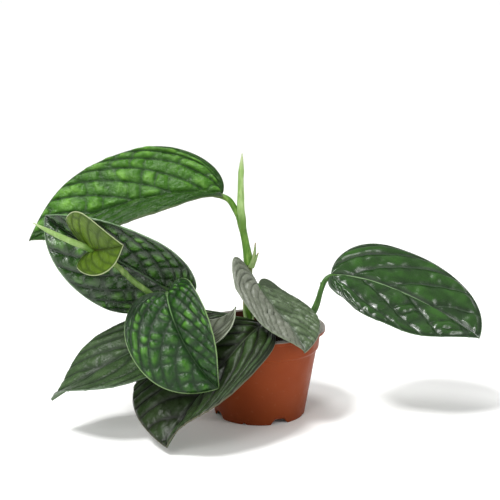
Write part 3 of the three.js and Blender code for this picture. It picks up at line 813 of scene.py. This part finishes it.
def swept_curve(name, strands):
    """A curve object from strands of (points, radii, turns), in millimetres."""
    curve = bpy.data.curves.new(name, "CURVE")
    curve.dimensions = "3D"
    for points, radii, turns in strands:
        spline = curve.splines.new("POLY")
        spline.points.add(len(points) - 1)
        homogeneous = np.concatenate([points * MM, np.ones((len(points), 1))], 1)
        spline.points.foreach_set("co", homogeneous.ravel())
        spline.points.foreach_set("radius", np.asarray(radii) * MM)
        spline.points.foreach_set("tilt", np.linspace(0, 2 * math.pi * turns, len(points)))
    holder = bpy.data.objects.new(name, curve)
    bpy.context.collection.objects.link(holder)
    return holder


# %% Geometry Nodes helpers
class NodeTree:
    """A node tree that is built one node at a time, with named inputs."""

    def __init__(self, name, **inputs):
        self.tree = bpy.data.node_groups.new(name, "GeometryNodeTree")
        self.tree.interface.new_socket("Geometry", in_out="INPUT", socket_type="NodeSocketGeometry")
        self.names = {}
        for title, (kind, value) in inputs.items():
            socket = self.tree.interface.new_socket(title, in_out="INPUT", socket_type=f"NodeSocket{kind}")
            if value is not None:
                socket.default_value = value
            self.names[title] = socket.identifier
        self.tree.interface.new_socket("Geometry", in_out="OUTPUT", socket_type="NodeSocketGeometry")
        self.given = self.tree.nodes.new("NodeGroupInput").outputs
        self.result = self.tree.nodes.new("NodeGroupOutput").inputs["Geometry"]

    def add(self, kind, settings=None, **links):
        """A node; settings are its properties, and links its inputs by name or by number."""
        node = self.tree.nodes.new(kind)
        for key, value in (settings or {}).items():
            setattr(node, key, value)
        for key, value in links.items():
            title = key.replace("_", " ")
            numbered = key[0] == "n" and key[1:].isdigit()
            socket = node.inputs[int(key[1:]) if numbered else title]
            if isinstance(value, bpy.types.NodeSocket):
                self.tree.links.new(value, socket)
            else:
                socket.default_value = value
        return node

    def run(self, holder, **values):
        """The holder's geometry after the tree, as a plain mesh. The holder is then removed."""
        modifier = holder.modifiers.new("nodes", "NODES")
        modifier.node_group = self.tree
        for title, value in values.items():
            modifier[self.names[title]] = value
        bpy.context.view_layer.update()
        evaluated = holder.evaluated_get(bpy.context.evaluated_depsgraph_get())
        mesh = bpy.data.meshes.new_from_object(evaluated)
        mesh.name = holder.name
        bpy.data.objects.remove(holder)
        mesh.shade_smooth()
        return mesh


# %% Node tree: sweep a grooved section along a path
def sweep_tree(name, groove, lap):
    """A tree that sweeps a unit section along the curve. groove cuts a channel along its upper side,
    and lap makes the section a roll whose outer edge lies over its start."""
    tree = NodeTree(name, Sides=("Int", 20), Groove=("Float", groove), Lap=("Float", lap),
                    Finish=("Material", None))
    circle = tree.add("GeometryNodeCurvePrimitiveCircle", Resolution=tree.given["Sides"], Radius=1.0)
    place = tree.add("GeometryNodeInputPosition").outputs["Position"]
    turn = tree.add("GeometryNodeSplineParameter").outputs["Factor"]
    split = tree.add("ShaderNodeSeparateXYZ", Vector=place)
    upper = tree.add("ShaderNodeMapRange", {"interpolation_type": "SMOOTHSTEP"}, Value=split.outputs["Y"])
    upper.inputs["From Min"].default_value = 0.7
    cut = tree.add("ShaderNodeMath", {"operation": "MULTIPLY"}, n0=upper.outputs["Result"],
                   n1=tree.given["Groove"])
    rise = tree.add("ShaderNodeMath", {"operation": "MULTIPLY"}, n0=turn, n1=tree.given["Lap"])
    change = tree.add("ShaderNodeMath", {"operation": "SUBTRACT"}, n0=rise.outputs[0], n1=cut.outputs[0])
    factor = tree.add("ShaderNodeMath", {"operation": "ADD"}, n0=change.outputs[0], n1=1.0)
    moved = tree.add("ShaderNodeVectorMath", {"operation": "SCALE"}, Vector=place, Scale=factor.outputs[0])
    section = tree.add("GeometryNodeSetPosition", Geometry=circle.outputs["Curve"],
                       Position=moved.outputs["Vector"])
    progress = tree.add("GeometryNodeSplineParameter").outputs["Factor"]
    marked = tree.add("GeometryNodeStoreNamedAttribute", {"data_type": "FLOAT", "domain": "POINT"},
                      Geometry=tree.given["Geometry"], Name="along", Value=progress)
    sweep = tree.add("GeometryNodeCurveToMesh", Curve=marked.outputs["Geometry"],
                     Profile_Curve=section.outputs["Geometry"], Fill_Caps=True)
    if "Scale" in sweep.inputs:
        radius = tree.add("GeometryNodeInputRadius").outputs["Radius"]
        tree.tree.links.new(radius, sweep.inputs["Scale"])
    whole = tree.add("GeometryNodeRealizeInstances", Geometry=sweep.outputs["Mesh"])
    dressed = tree.add("GeometryNodeSetMaterial", Geometry=whole.outputs["Geometry"],
                       Material=tree.given["Finish"])
    tree.tree.links.new(dressed.outputs["Geometry"], tree.result)
    return tree


grooved_sweep = sweep_tree("grooved_sweep", 0.22, 0.0)
rolled_sweep = sweep_tree("rolled_sweep", 0.0, 0.3)


# %% Stalk finishes
def stalk_finish(name, base, light, tip, spot, roughness=0.42, foot=None):
    """A waxy green that changes towards the tip, with fine lengthwise flecks."""
    finish = Finish(name, roughness, specular=0.25)
    fleck = finish.remap(finish.cloud(0.003, 4, (1, 1, 0.25)), 0.4, 0.7)
    body = finish.blend(fleck, base, light)
    body = finish.blend(finish.remap(finish.measure("along"), 0.75, 1.0), body, tip)
    body = finish.blend(finish.times(finish.remap(finish.cloud(0.006, 3), 0.6, 0.75), 0.5), body, spot)
    if foot:
        body = finish.blend(finish.remap(finish.measure("along"), 0.05, 0.3, 1.0, 0.0), body, foot)
    finish.colour(body)
    finish.bump(finish.cloud(0.0015, 4, (1, 1, 0.2)), 0.0002)
    return finish


green_stalk = stalk_finish("green_stalk", "48701f", "6a8c3a", "5a6430", "556430")
right_stalk = stalk_finish("right_stalk", "33561f", "4a6e30", "46652f", "3c4f24")
dark_stalk = stalk_finish("dark_stalk", "304a21", "425f2f", "486435", "3c4627")
pale_spike = stalk_finish("pale_spike", "80a058", "a0ba7c", "a6b486", "8aa062", 0.4,
                          foot="54792a")
dry_stub = stalk_finish("dry_stub", "718a51", "929d6f", "86774a", "6d5b33", 0.6)
pale_foot = stalk_finish("pale_foot", "8fae6c", "b0c692", "a39670", "93a66c", 0.45)
runner_skin = stalk_finish("runner_skin", "547331", "758f4f", "646433", "62602e")

# %% [markdown]
# Each stalk below has the solid model's points. A swelling is written as where it lies along the
# stalk, how much it adds to the radius and how long it is, all but the first in millimetres.

# %% Table of stalks
ROOT_HEIGHT = 62  # the stems start this high, inside the soil
JOINT = (0.93, 0.55, 5.0)  # the swollen joint below a blade
COLLAR = (0.04, 0.8, 9.0)  # the wide foot where a stalk leaves the stem

STALKS = {
    "shoot": dict(root=(-9, 2), path=[(-10, 1, 90), (-11, 0, 115), (-10, 0, 138)], girth=(3.6, 3.5),
                  swell=[(0.35, 0.35, 1.6), (0.72, 0.35, 1.6)], finish=green_stalk),
    "petiole_upper": dict(
        leaf="upper", girth=(4.0, 2.3), finish=green_stalk,
        swell=[(0.04, 0.8, 8.0), (0.45, 0.7, 6.0), JOINT],
        path=[(-10, 0, 139), (-12, 1, 152), (-15, 3, 168), (-18, 4, 180), (-22, 5, 188), (-28, 7, 197)]),
    "petiole_middle": dict(
        root=(-4, 16), leaf="middle", girth=(2.8, 2.2), finish=dark_stalk, swell=[JOINT],
        path=[(-20, 17, 82), (-55, 16, 91), (-75, -6, 106), (-81, -28, 119)]),
    "runner": dict(
        root=(-18, 4), leaf="young", girth=(3.4, 2.4), finish=runner_skin,
        swell=[(0.3, 0.5, 1.8), (0.55, 0.5, 1.8), (0.78, 0.5, 1.8), JOINT],
        path=[(-32, 4, 84), (-57, 3, 93), (-73, -24, 103), (-85, -50, 114), (-95, -55, 125),
              (-109, -59, 137), (-122, -63, 151), (-136, -68, 163)]),
    "petiole_front": dict(
        root=(-14, -12), leaf="front", girth=(2.8, 2.2), finish=dark_stalk, swell=[JOINT],
        path=[(-30, -13, 86), (-52, -14, 97), (-64, -26, 110), (-74, -48, 122)]),
    "petiole_drooping": dict(
        root=(10, -4), leaf="drooping", girth=(2.6, 2.2), finish=dark_stalk, swell=[JOINT],
        path=[(10, -8, 84), (8, -18, 92)]),
    "petiole_low": dict(
        root=(-22, -3), leaf="low", girth=(2.4, 2), finish=dark_stalk, swell=[JOINT],
        path=[(-36, -4, 80), (-58, -4, 88), (-75, -15, 93), (-79, -30, 95)]),
    "petiole_over_rim": dict(
        root=(14, 6), leaf="over_rim", girth=(2.6, 2), finish=dark_stalk, swell=[JOINT],
        path=[(11, 2, 90), (4, -8, 114)]),
    "petiole_small": dict(
        leaf="small", girth=(1.8, 1.4), finish=dark_stalk, swell=[],
        path=[(-75, -30, 104), (-72, -44, 102), (-62, -60, 92)]),
    "petiole_right": dict(
        root=(34, -4), leaf="right", girth=(3.1, 2.3), finish=right_stalk, swell=[COLLAR, JOINT],
        path=[(44, -2, 84), (52, 0, 100), (56, 1, 115), (60, 2, 124)]),
}

# %% Grow the stalks
KEEL_RUN = 14  # how far a stalk runs on below the blade as its keel
KEEL_SHARE = 0.25  # but no further than this share of the blade
KEEL_DEPTHS = ((0.9,), (1.4,), (1.2,))  # how far below the blade the stalk lies along that run
KEEL_END = 0.25  # the share of its radius that is left where it ends


def stalk_points(stalk):
    """The stalk's points, from its root in the soil to the base of its blade and on below it."""
    points = [np.array(point, float) for point in stalk["path"]]
    if "root" in stalk:
        points.insert(0, np.array([*stalk["root"], ROOT_HEIGHT], float))
    leaf = LEAVES[stalk["leaf"]] if "leaf" in stalk else None
    if leaf:
        rib = measured_rib(leaf)
        run = min(KEEL_RUN, KEEL_SHARE * rib[3])
        along_rib = np.array([0.0, 0.5 * run, run])
        place = bend_half(leaf, 0, rib, along_rib, np.zeros(3))[0]
        sunk = leaf["swell"] * leaf["sink"] + MIDRIB_DEPTH
        points.extend(place - upright(leaf, rib, along_rib) * (sunk + np.array(KEEL_DEPTHS)))
    return points


def stalk_radii(stalk, length, count):
    """The radius at each step: a taper, the swellings, and a thin end below the blade."""
    share = np.linspace(0, 1, count)
    start, end = stalk["girth"]
    radii = start + (end - start) * share
    for centre, extra, spread in stalk["swell"]:
        radii += extra * np.exp(-((share - centre) * length / spread) ** 2)
    if "leaf" in stalk:
        keel = np.clip((1 - share) * length / KEEL_RUN, 0, 1)
        radii *= KEEL_END + (1 - KEEL_END) * keel ** 0.8
    return radii


for stalk_name, stalk in STALKS.items():
    path, path_length = smooth_path(stalk_points(stalk))
    radii = stalk_radii(stalk, path_length, len(path))
    holder = swept_curve(f"{stalk_name}_path", [(path, radii, 0)])
    stalk_mesh = grooved_sweep.run(holder, Finish=stalk["finish"].material)
    hand_over(f"stalk_{stalk_name}", stalk_mesh, stalk["finish"], "stalk", stalk_name)

# %% [markdown]
# ## Rolled new leaves and the remains of sheaths
#
# A new leaf comes out of the stalk before it as a tight roll, a pale spike with one edge lapped
# over the other. The same sweep makes it with a section whose radius grows once round, so the lap
# shows as a fine line that winds slowly up the spike.
#
# A sheath that has done its work stays on the stem as thin prongs, rolled in the same way: two dry
# ones beside the top stalk, two pale ones at the foot of the shoot, and one that lies along the
# stalk on the right and ends below its blade.

# %% Spikes
SPIKES = {
    "spike_upper": dict(girth=(2.7, 2.1), turns=0.6, path=[
        (-15.5, 0.5, 172), (-15.5, 0, 180), (-17, 0, 190), (-17, 1, 205), (-17, 2, 222), (-16, 3, 240)]),
    "spike_runner": dict(girth=(2.4, 1.4), turns=0.5, path=[
        (-141, -71.5, 166.5), (-147, -73, 170), (-158, -75, 175), (-176, -76, 184), (-190, -78, 192)]),
}
BELLY_AT, BELLY_SPREAD, BELLY_EXTRA = 0.35, 0.22, 0.16  # shares of the length, and of the radius
POINT_RUN = 0.24  # the share of a spike that is its point
POINT_END = 0.12  # and the share of the radius that is left at its end


def spike_radii(girth, count):
    """A roll that is fullest a third of the way up and ends in a drawn-out point."""
    share = np.linspace(0, 1, count)
    belly = 1 + BELLY_EXTRA * line_at(share - BELLY_AT, BELLY_SPREAD)
    point = np.clip((1 - share) / POINT_RUN, 0, 1) ** 0.8
    taper = girth[0] + (girth[1] - girth[0]) * share
    return taper * belly * (POINT_END + (1 - POINT_END) * point)


for spike_name, spike in SPIKES.items():
    path, _ = smooth_path(spike["path"])
    radii = spike_radii(spike["girth"], len(path))
    holder = swept_curve(f"{spike_name}_path", [(path, radii, spike["turns"])])
    spike_mesh = rolled_sweep.run(holder, Finish=pale_spike.material, Sides=28)
    hand_over(f"roll_{spike_name}", spike_mesh, pale_spike, "spike", spike_name)

# %% Prongs
PRONG_GIRTH = (2.4, 0.4)
PRONG_TURNS = 0.2
STUB_PRONGS = [
    [(-8, -3.4, 137), (-5.6, -4, 145), (-4.6, -4, 152), (-4.2, -4.2, 160)],
    [(-7.4, -3.6, 138), (-4.8, -4.4, 143), (-2.6, -4.6, 148), (-1.4, -4.8, 151)],
]
FOOT_PRONGS = [
    [(-10, -2, 68), (-11.5, -4, 82), (-14, -5, 95), (-15, -5, 107)],
    [(-8, -3, 68), (-7.5, -5, 80), (-6, -6.5, 90), (-4, -7, 98)],
]
RIGHT_PRONG = [[(47, -1.4, 92), (50.6, -1, 101), (53.6, -0.6, 111), (55.2, 0, 117), (55.4, 0.2, 122.5)]]


def prongs(name, paths, finish, *nodes):
    """Thin rolled prongs that narrow to a point, handed over as one piece."""
    smooth = [smooth_path(points)[0] for points in paths]
    strands = [(path, np.linspace(*PRONG_GIRTH, len(path)), PRONG_TURNS) for path in smooth]
    mesh = rolled_sweep.run(swept_curve(f"{name}_path", strands), Finish=finish.material, Sides=16)
    hand_over(name, mesh, finish, "stalk", *nodes)


prongs("dry_sheath", STUB_PRONGS, dry_stub, "sheath_stub")
prongs("foot_sheath", FOOT_PRONGS, pale_foot)
prongs("right_ligule", RIGHT_PRONG, right_stalk)

# %% [markdown]
# ## The pot
#
# A nursery pot is blown or moulded in one piece from thin coloured plastic: a stiff lip, a collar
# with a small step below it, a tapering wall, and a skirt with notches that lets water run off.
# Its outline is turned once round the axis as in a lathe. The notches need no cutting: wherever a
# notch is, the lower end of the wall is simply squeezed upwards.

# %% The pot's outline
pot_low, pot_high = (np.array(corner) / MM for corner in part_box("pot"))
POT_HEIGHT = pot_high[2]
RIM_RADIUS = (pot_high[0] - pot_low[0]) / 2
LIP_WIDTH = 4.6
LIP_DEPTH = 3.6
WALL = 1.2
COLLAR_HEIGHT = 15
COLLAR_LEAN = 1.2
STEP = 2
BASE_RADIUS = 41.6
SKIRT_HEIGHT = 6
PAD_RADIUS = 13
PAD_FLARE = 2
DRAIN_RADIUS = 3.5
DRAIN_CIRCLE = 28
DRAIN_COUNT = 6
POT_SEGMENTS = 240

lip_underside = POT_HEIGHT - LIP_DEPTH
step_top = lip_underside - COLLAR_HEIGHT
step_foot = step_top - STEP
collar_radius = RIM_RADIUS - LIP_WIDTH
collar_foot = collar_radius - COLLAR_LEAN
body_radius = collar_foot - STEP
floor_top = SKIRT_HEIGHT + WALL


def body_radius_at(z):
    return BASE_RADIUS + (body_radius - BASE_RADIUS) * z / step_foot


def rounded_corner(before, corner, after, radius, steps=5):
    """Points of the round that replaces a corner between two neighbours."""
    before, corner, after = (np.array(point, float) for point in (before, corner, after))
    start = corner + unit(before - corner) * radius
    end = corner + unit(after - corner) * radius
    t = np.linspace(0, 1, steps)[:, None]
    return (1 - t) ** 2 * start + 2 * t * (1 - t) * corner + t * t * end


def rounded_outline(corners, step=2.0):
    """The outline through (radius, height, rounding) corners, with rounded corners and even steps."""
    flat = [np.array(corner[:2], float) for corner in corners]
    points = [flat[0]]
    for i in range(1, len(corners) - 1):
        points.extend(rounded_corner(flat[i - 1], flat[i], flat[i + 1], corners[i][2]))
    points.append(flat[-1])
    filled = [points[0]]
    for point in points[1:]:
        parts = max(1, int(np.linalg.norm(point - filled[-1]) / step))
        start = filled[-1]
        filled.extend(start + (point - start) * (k + 1) / parts for k in range(parts))
    return np.array(filled)


# %% Turn an outline once round
def turned(name, radius, z, angle):
    """The mesh of the rings with these radii and heights, and the points that it kept."""
    points = np.stack([radius * np.cos(angle), radius * np.sin(angle), z], -1)
    index = np.arange(z.size).reshape(z.shape)
    beside = np.roll(index, -1, axis=1)
    quads = np.stack([index[:-1], beside[:-1], beside[1:], index[1:]], -1)
    return mesh_of(name, points.reshape(-1, 3), quads.reshape(-1, 4))


# %% Turn the pot
RING_LINES = (step_foot - 1.5, 9.0)  # heights of the faint lines round the wall
RING_DEPTH = 0.18
RING_WIDTH = 0.6
NOTCH_TURN = -65
NOTCH_HEIGHT = 5
NOTCH_FOOT, NOTCH_HEAD = 17, 9
SMALL_NOTCH_HEIGHT = 1.4
SMALL_NOTCH_FOOT, SMALL_NOTCH_HEAD = 4, 2

outside = [
    (0, 0, 0), (PAD_RADIUS, 0, 0.6), (PAD_RADIUS + PAD_FLARE, SKIRT_HEIGHT, 0.6),
    (body_radius_at(SKIRT_HEIGHT) - WALL, SKIRT_HEIGHT, 0.5), (BASE_RADIUS - WALL, 0, 0.4),
    (BASE_RADIUS, 0, 0.4), (body_radius, step_foot, 0.7), (collar_foot, step_top, 0.8),
    (collar_radius, lip_underside, 0.6), (RIM_RADIUS, lip_underside, 0.7),
    (RIM_RADIUS, POT_HEIGHT, 1.1), (collar_radius - WALL, POT_HEIGHT, 0.9),
    (collar_foot - WALL, step_top, 0.8), (body_radius - WALL, step_foot, 0.7),
    (body_radius_at(floor_top) - WALL, floor_top, 0.8), (PAD_RADIUS - WALL + PAD_FLARE, floor_top, 0.6),
    (PAD_RADIUS - WALL, WALL, 0.6), (0, WALL, 0),
]


def trapezoid(angle, centre, foot, head, height):
    """The height of a notch at each angle, in degrees."""
    away = np.abs((angle - centre + 180) % 360 - 180) * math.pi / 180 * BASE_RADIUS
    return height * np.clip((foot / 2 - away) / (foot / 2 - head / 2), 0, 1)


def notch_height(angle):
    """How far up the skirt is cut at each angle."""
    height = np.zeros_like(angle)
    for i in range(4):
        wide = NOTCH_TURN + 90 * i
        height = np.maximum(height, trapezoid(angle, wide, NOTCH_FOOT, NOTCH_HEAD, NOTCH_HEIGHT))
        small = trapezoid(angle, wide + 45, SMALL_NOTCH_FOOT, SMALL_NOTCH_HEAD, SMALL_NOTCH_HEIGHT)
        height = np.maximum(height, small)
    return height


def turned_pot():
    """The pot's closed mesh, before its drain holes."""
    outline = rounded_outline(outside)
    on_wall = (outline[:, 0] > BASE_RADIUS - 2 * WALL) & (np.arange(len(outline)) > 0)
    for line in RING_LINES:
        outer = outline[:, 0] > body_radius_at(outline[:, 1]) - WALL / 2
        outline[:, 0] -= outer * RING_DEPTH * line_at(outline[:, 1] - line, RING_WIDTH)
    angle = np.linspace(0, 360, POT_SEGMENTS, endpoint=False)
    cut = notch_height(angle)[None, :]
    radius, z = outline[:, :1], outline[:, 1:]
    squeezed = cut + z * (SKIRT_HEIGHT - cut) / SKIRT_HEIGHT
    z = np.where(on_wall[:, None] & (z < SKIRT_HEIGHT), squeezed, z + 0 * cut)
    mesh, first = turned("pot", radius, z, np.radians(angle)[None, :])
    # The inner wall is marked, so that the finish can paint it darker as painted shade inside the pot.
    top = int(np.argmax(outline[:, 1] > POT_HEIGHT - 0.01))
    inner = np.arange(len(outline)) > top + (outline[top:, 0] > collar_radius - WALL + 0.3).sum()
    measure_points(mesh, "inside", np.repeat(inner, POT_SEGMENTS)[first])
    return mesh


def drain_cutters():
    """Upright rods, one for each drain hole."""
    sides, points, faces = 32, [], []
    for i in range(DRAIN_COUNT):
        turn = 2 * math.pi * i / DRAIN_COUNT
        first = len(points)
        for z in (SKIRT_HEIGHT - 2, floor_top + 2):
            for k in range(sides):
                angle = 2 * math.pi * k / sides
                points.append((DRAIN_CIRCLE * math.cos(turn) + DRAIN_RADIUS * math.cos(angle),
                               DRAIN_CIRCLE * math.sin(turn) + DRAIN_RADIUS * math.sin(angle), z))
        faces.append([first + k for k in reversed(range(sides))])
        faces.append([first + sides + k for k in range(sides)])
        faces.extend([first + k, first + (k + 1) % sides, first + sides + (k + 1) % sides,
                      first + sides + k] for k in range(sides))
    return mesh_of("drains", points, faces)[0]


def bored(mesh, cutters):
    """The mesh with the cutters taken away from it."""
    solid = bpy.data.objects.new("solid", mesh)
    cutter = bpy.data.objects.new("cutter", cutters)
    for holder in (solid, cutter):
        bpy.context.collection.objects.link(holder)
    cut = solid.modifiers.new("cut", "BOOLEAN")
    cut.operation, cut.object, cut.solver = "DIFFERENCE", cutter, "EXACT"
    bpy.context.view_layer.update()
    evaluated = solid.evaluated_get(bpy.context.evaluated_depsgraph_get())
    result = bpy.data.meshes.new_from_object(evaluated)
    bpy.data.objects.remove(solid)
    bpy.data.objects.remove(cutter)
    return result


# %% The pot's finish
def pot_finish():
    """Terracotta-coloured plastic: even and satin, with a pale lip top that is partly dust and partly
    painted highlight, darker at the foot, and painted darker inside, as painted shade."""
    finish = Finish("terracotta_plastic", 0.42, specular=0.12)
    z = finish.height()
    body = finish.blend(finish.remap(finish.cloud(0.05, 2), 0.3, 0.7), "7c3411", "843a15")
    body = finish.blend(finish.remap(z, 0.05, 0.0, 0.0, 0.35), body, "4c200c")
    dust = finish.times(finish.remap(finish.cloud(0.004, 5), 0.62, 0.75), 0.25)
    body = finish.blend(dust, body, "8d5a45")
    # The pale top of the lip is partly dust and partly a painted highlight.
    body = finish.blend(finish.remap(z, (POT_HEIGHT - 1.4) * MM, (POT_HEIGHT - 0.5) * MM), body, "88827a")
    # The inner wall is painted darker, as painted shade inside the pot.
    body = finish.blend(finish.times(finish.measure("inside"), 0.85), body, "3a211b")
    finish.colour(body)
    finish.roughness(finish.remap(finish.cloud(0.01, 5), 0.3, 0.7, 0.36, 0.52))
    finish.bump(finish.cloud(0.0012, 3), 0.00006)
    return finish


pot_mesh = bored(turned_pot(), drain_cutters())
hand_over("nursery_pot", pot_mesh, pot_finish(), "pot", "pot")

# %% [markdown]
# ## The soil
#
# Potting mix is peat with bark crumbs and a few fibres. The bed is one lumpy closed body that
# fills the pot, and the crumbs and fibres are strewn over it by nodes: points on the upper faces,
# one small rock or fibre on each, turned and sized at random from a fixed seed.

# %% The bed of soil
SOIL_DROP = 12
SOIL_MOUND = 2.5
SOIL_GAP = 0.3  # between the bed and the pot
LUMPS = ((21, 0.8), (11, 0.6), (5.5, 0.45), (3.1, 0.3))  # lengths and heights of the waves
LUMP_SHARE = 0.6
BED_RINGS = 60
BED_SEGMENTS = 160

soil_edge = POT_HEIGHT - SOIL_DROP


def inner_radius(z):
    """The inside of the wall at a height."""
    if z < step_foot:
        return body_radius_at(z) - WALL
    if z < step_top:
        return body_radius - WALL + (z - step_foot)
    return collar_foot - WALL + COLLAR_LEAN * (z - step_top) / COLLAR_HEIGHT


def lumps(x, y):
    """A fixed uneven height, in millimetres."""
    total = 0
    for i, (size, depth) in enumerate(LUMPS):
        turn = 1.1 + 2.4 * i
        total = total + depth * np.sin((x * math.cos(turn) + y * math.sin(turn)) * 2 * math.pi / size + i)
        total = total + depth * np.cos((y * math.cos(turn) - x * math.sin(turn)) * 2 * math.pi / size - i)
    return total


def soil_bed():
    """A closed body that follows the inside of the pot, with an uneven top."""
    heights = [floor_top + SOIL_GAP, 20, 40, step_foot, step_top, soil_edge - 1]
    sides = [(0, heights[0])] + [(inner_radius(z) - SOIL_GAP, z) for z in heights]
    top_radius = inner_radius(soil_edge) - SOIL_GAP
    shares = np.linspace(1, 0, BED_RINGS)
    top = [(top_radius * share, soil_edge + SOIL_MOUND * (1 - share ** 2) - 1) for share in shares]
    outline = np.array(sides + top)
    angle = np.linspace(0, 2 * math.pi, BED_SEGMENTS, endpoint=False)[None, :]
    radius, z = outline[:, :1], outline[:, 1:]
    x, y = radius * np.cos(angle), radius * np.sin(angle)
    on_top = (np.arange(len(outline)) >= len(sides))[:, None]
    z = z + np.where(on_top, LUMP_SHARE * lumps(x, y) * np.clip((top_radius - radius) / 6, 0, 1), 0)
    return turned("soil", radius, z, angle)[0]


# %% The soil's finish
def soil_finish(name, dark, light):
    """Damp peat: nearly black, with lighter bark grains."""
    finish = Finish(name, 0.9, specular=0.25)
    grain = finish.remap(finish.cloud(0.002, 5), 0.4, 0.7)
    finish.colour(finish.blend(grain, dark, light))
    finish.bump(finish.cloud(0.0012, 5), 0.0006)
    return finish


peat = soil_finish("peat", "2a1c14", "4a3628")
bark = soil_finish("bark_crumbs", "2c1c14", "5a4132")
fibre = soil_finish("fibres", "6b5440", "9a8468")
soil_mesh = soil_bed()
hand_over("soil_bed", soil_mesh, peat, "soil", "soil")


# %% Node tree: strew pieces over the top of the soil
def strew_tree(name, piece_kind):
    """A tree that sets one small piece on each random point of the faces that look up."""
    tree = NodeTree(
        name, Density=("Float", 300000.0), Seed=("Int", 3), Smallest=("Float", 0.5),
        Largest=("Float", 1.6), Reach=("Float", 0.05), Finish=("Material", None))
    normal = tree.add("GeometryNodeInputNormal").outputs["Normal"]
    facing = tree.add("ShaderNodeSeparateXYZ", Vector=normal)
    place = tree.add("GeometryNodeInputPosition").outputs["Position"]
    flat = tree.add("ShaderNodeVectorMath", {"operation": "MULTIPLY"}, n0=place, n1=(1, 1, 0))
    radius = tree.add("ShaderNodeVectorMath", {"operation": "LENGTH"}, n0=flat.outputs["Vector"])
    looks_up = tree.add("ShaderNodeMath", {"operation": "GREATER_THAN"}, n0=facing.outputs["Z"], n1=0.5)
    inside = tree.add("ShaderNodeMath", {"operation": "LESS_THAN"}, n0=radius.outputs["Value"],
                      n1=tree.given["Reach"])
    chosen = tree.add("ShaderNodeMath", {"operation": "MULTIPLY"}, n0=looks_up.outputs[0],
                      n1=inside.outputs[0])
    points = tree.add("GeometryNodeDistributePointsOnFaces", Mesh=tree.given["Geometry"],
                      Selection=chosen.outputs[0], Density=tree.given["Density"], Seed=tree.given["Seed"])
    size = tree.add("FunctionNodeRandomValue", {"data_type": "FLOAT"}, Seed=tree.given["Seed"])
    tree.tree.links.new(tree.given["Smallest"], size.inputs[2])
    tree.tree.links.new(tree.given["Largest"], size.inputs[3])
    turn = tree.add("FunctionNodeRandomValue", {"data_type": "FLOAT_VECTOR"}, n1=(6.28, 6.28, 6.28),
                    Seed=tree.given["Seed"])
    spun = tree.add("FunctionNodeEulerToRotation", Euler=turn.outputs[0])
    laid = tree.add("GeometryNodeInstanceOnPoints", Points=points.outputs["Points"],
                    Instance=piece_kind(tree), Rotation=spun.outputs["Rotation"], Scale=size.outputs[1])
    whole = tree.add("GeometryNodeRealizeInstances", Geometry=laid.outputs["Instances"])
    dressed = tree.add("GeometryNodeSetMaterial", Geometry=whole.outputs["Geometry"],
                       Material=tree.given["Finish"])
    tree.tree.links.new(dressed.outputs["Geometry"], tree.result)
    return tree


def crumb(tree):
    """A small uneven rock, one millimetre in radius."""
    ball = tree.add("GeometryNodeMeshIcoSphere", Radius=MM, Subdivisions=2)
    rough = tree.add("ShaderNodeTexNoise", {"noise_dimensions": "3D"}, Scale=900.0, Detail=1.0)
    centred = tree.add("ShaderNodeVectorMath", {"operation": "SUBTRACT"}, n0=rough.outputs["Color"],
                       n1=(0.5, 0.5, 0.5))
    shift = tree.add("ShaderNodeVectorMath", {"operation": "SCALE"}, Vector=centred.outputs["Vector"],
                     Scale=1.6 * MM)
    dented = tree.add("GeometryNodeSetPosition", Geometry=ball.outputs["Mesh"],
                      Offset=shift.outputs["Vector"])
    return tree.add("GeometryNodeTransform", Geometry=dented.outputs["Geometry"],
                    Scale=(1.2, 0.9, 0.7)).outputs["Geometry"]


def strand(tree):
    """A short bent fibre, six millimetres long."""
    arc = tree.add("GeometryNodeCurveQuadraticBezier", Resolution=6, Start=(-3 * MM, 0, 0),
                   Middle=(0, 1.6 * MM, 0.8 * MM), End=(3 * MM, 0, 0))
    section = tree.add("GeometryNodeCurvePrimitiveCircle", Resolution=5, Radius=0.22 * MM)
    return tree.add("GeometryNodeCurveToMesh", Curve=arc.outputs["Curve"],
                    Profile_Curve=section.outputs["Curve"], Fill_Caps=True).outputs["Mesh"]


# %% Strew crumbs and fibres
def strewn(name, tree, finish, **values):
    """The pieces that a tree strews over the bed of soil."""
    holder = bpy.data.objects.new(name, soil_mesh.copy())
    bpy.context.collection.objects.link(holder)
    mesh = tree.run(holder, Finish=finish.material, **values)
    hand_over(name, mesh, finish, "soil")


strewn("bark_crumbs", strew_tree("crumb_strewing", crumb), bark, Density=190000.0, Seed=5,
       Smallest=0.6, Largest=1.9, Reach=0.0505)
strewn("fibres", strew_tree("fibre_strewing", strand), fibre, Density=26000.0, Seed=11,
       Smallest=0.6, Largest=1.3, Reach=0.047)
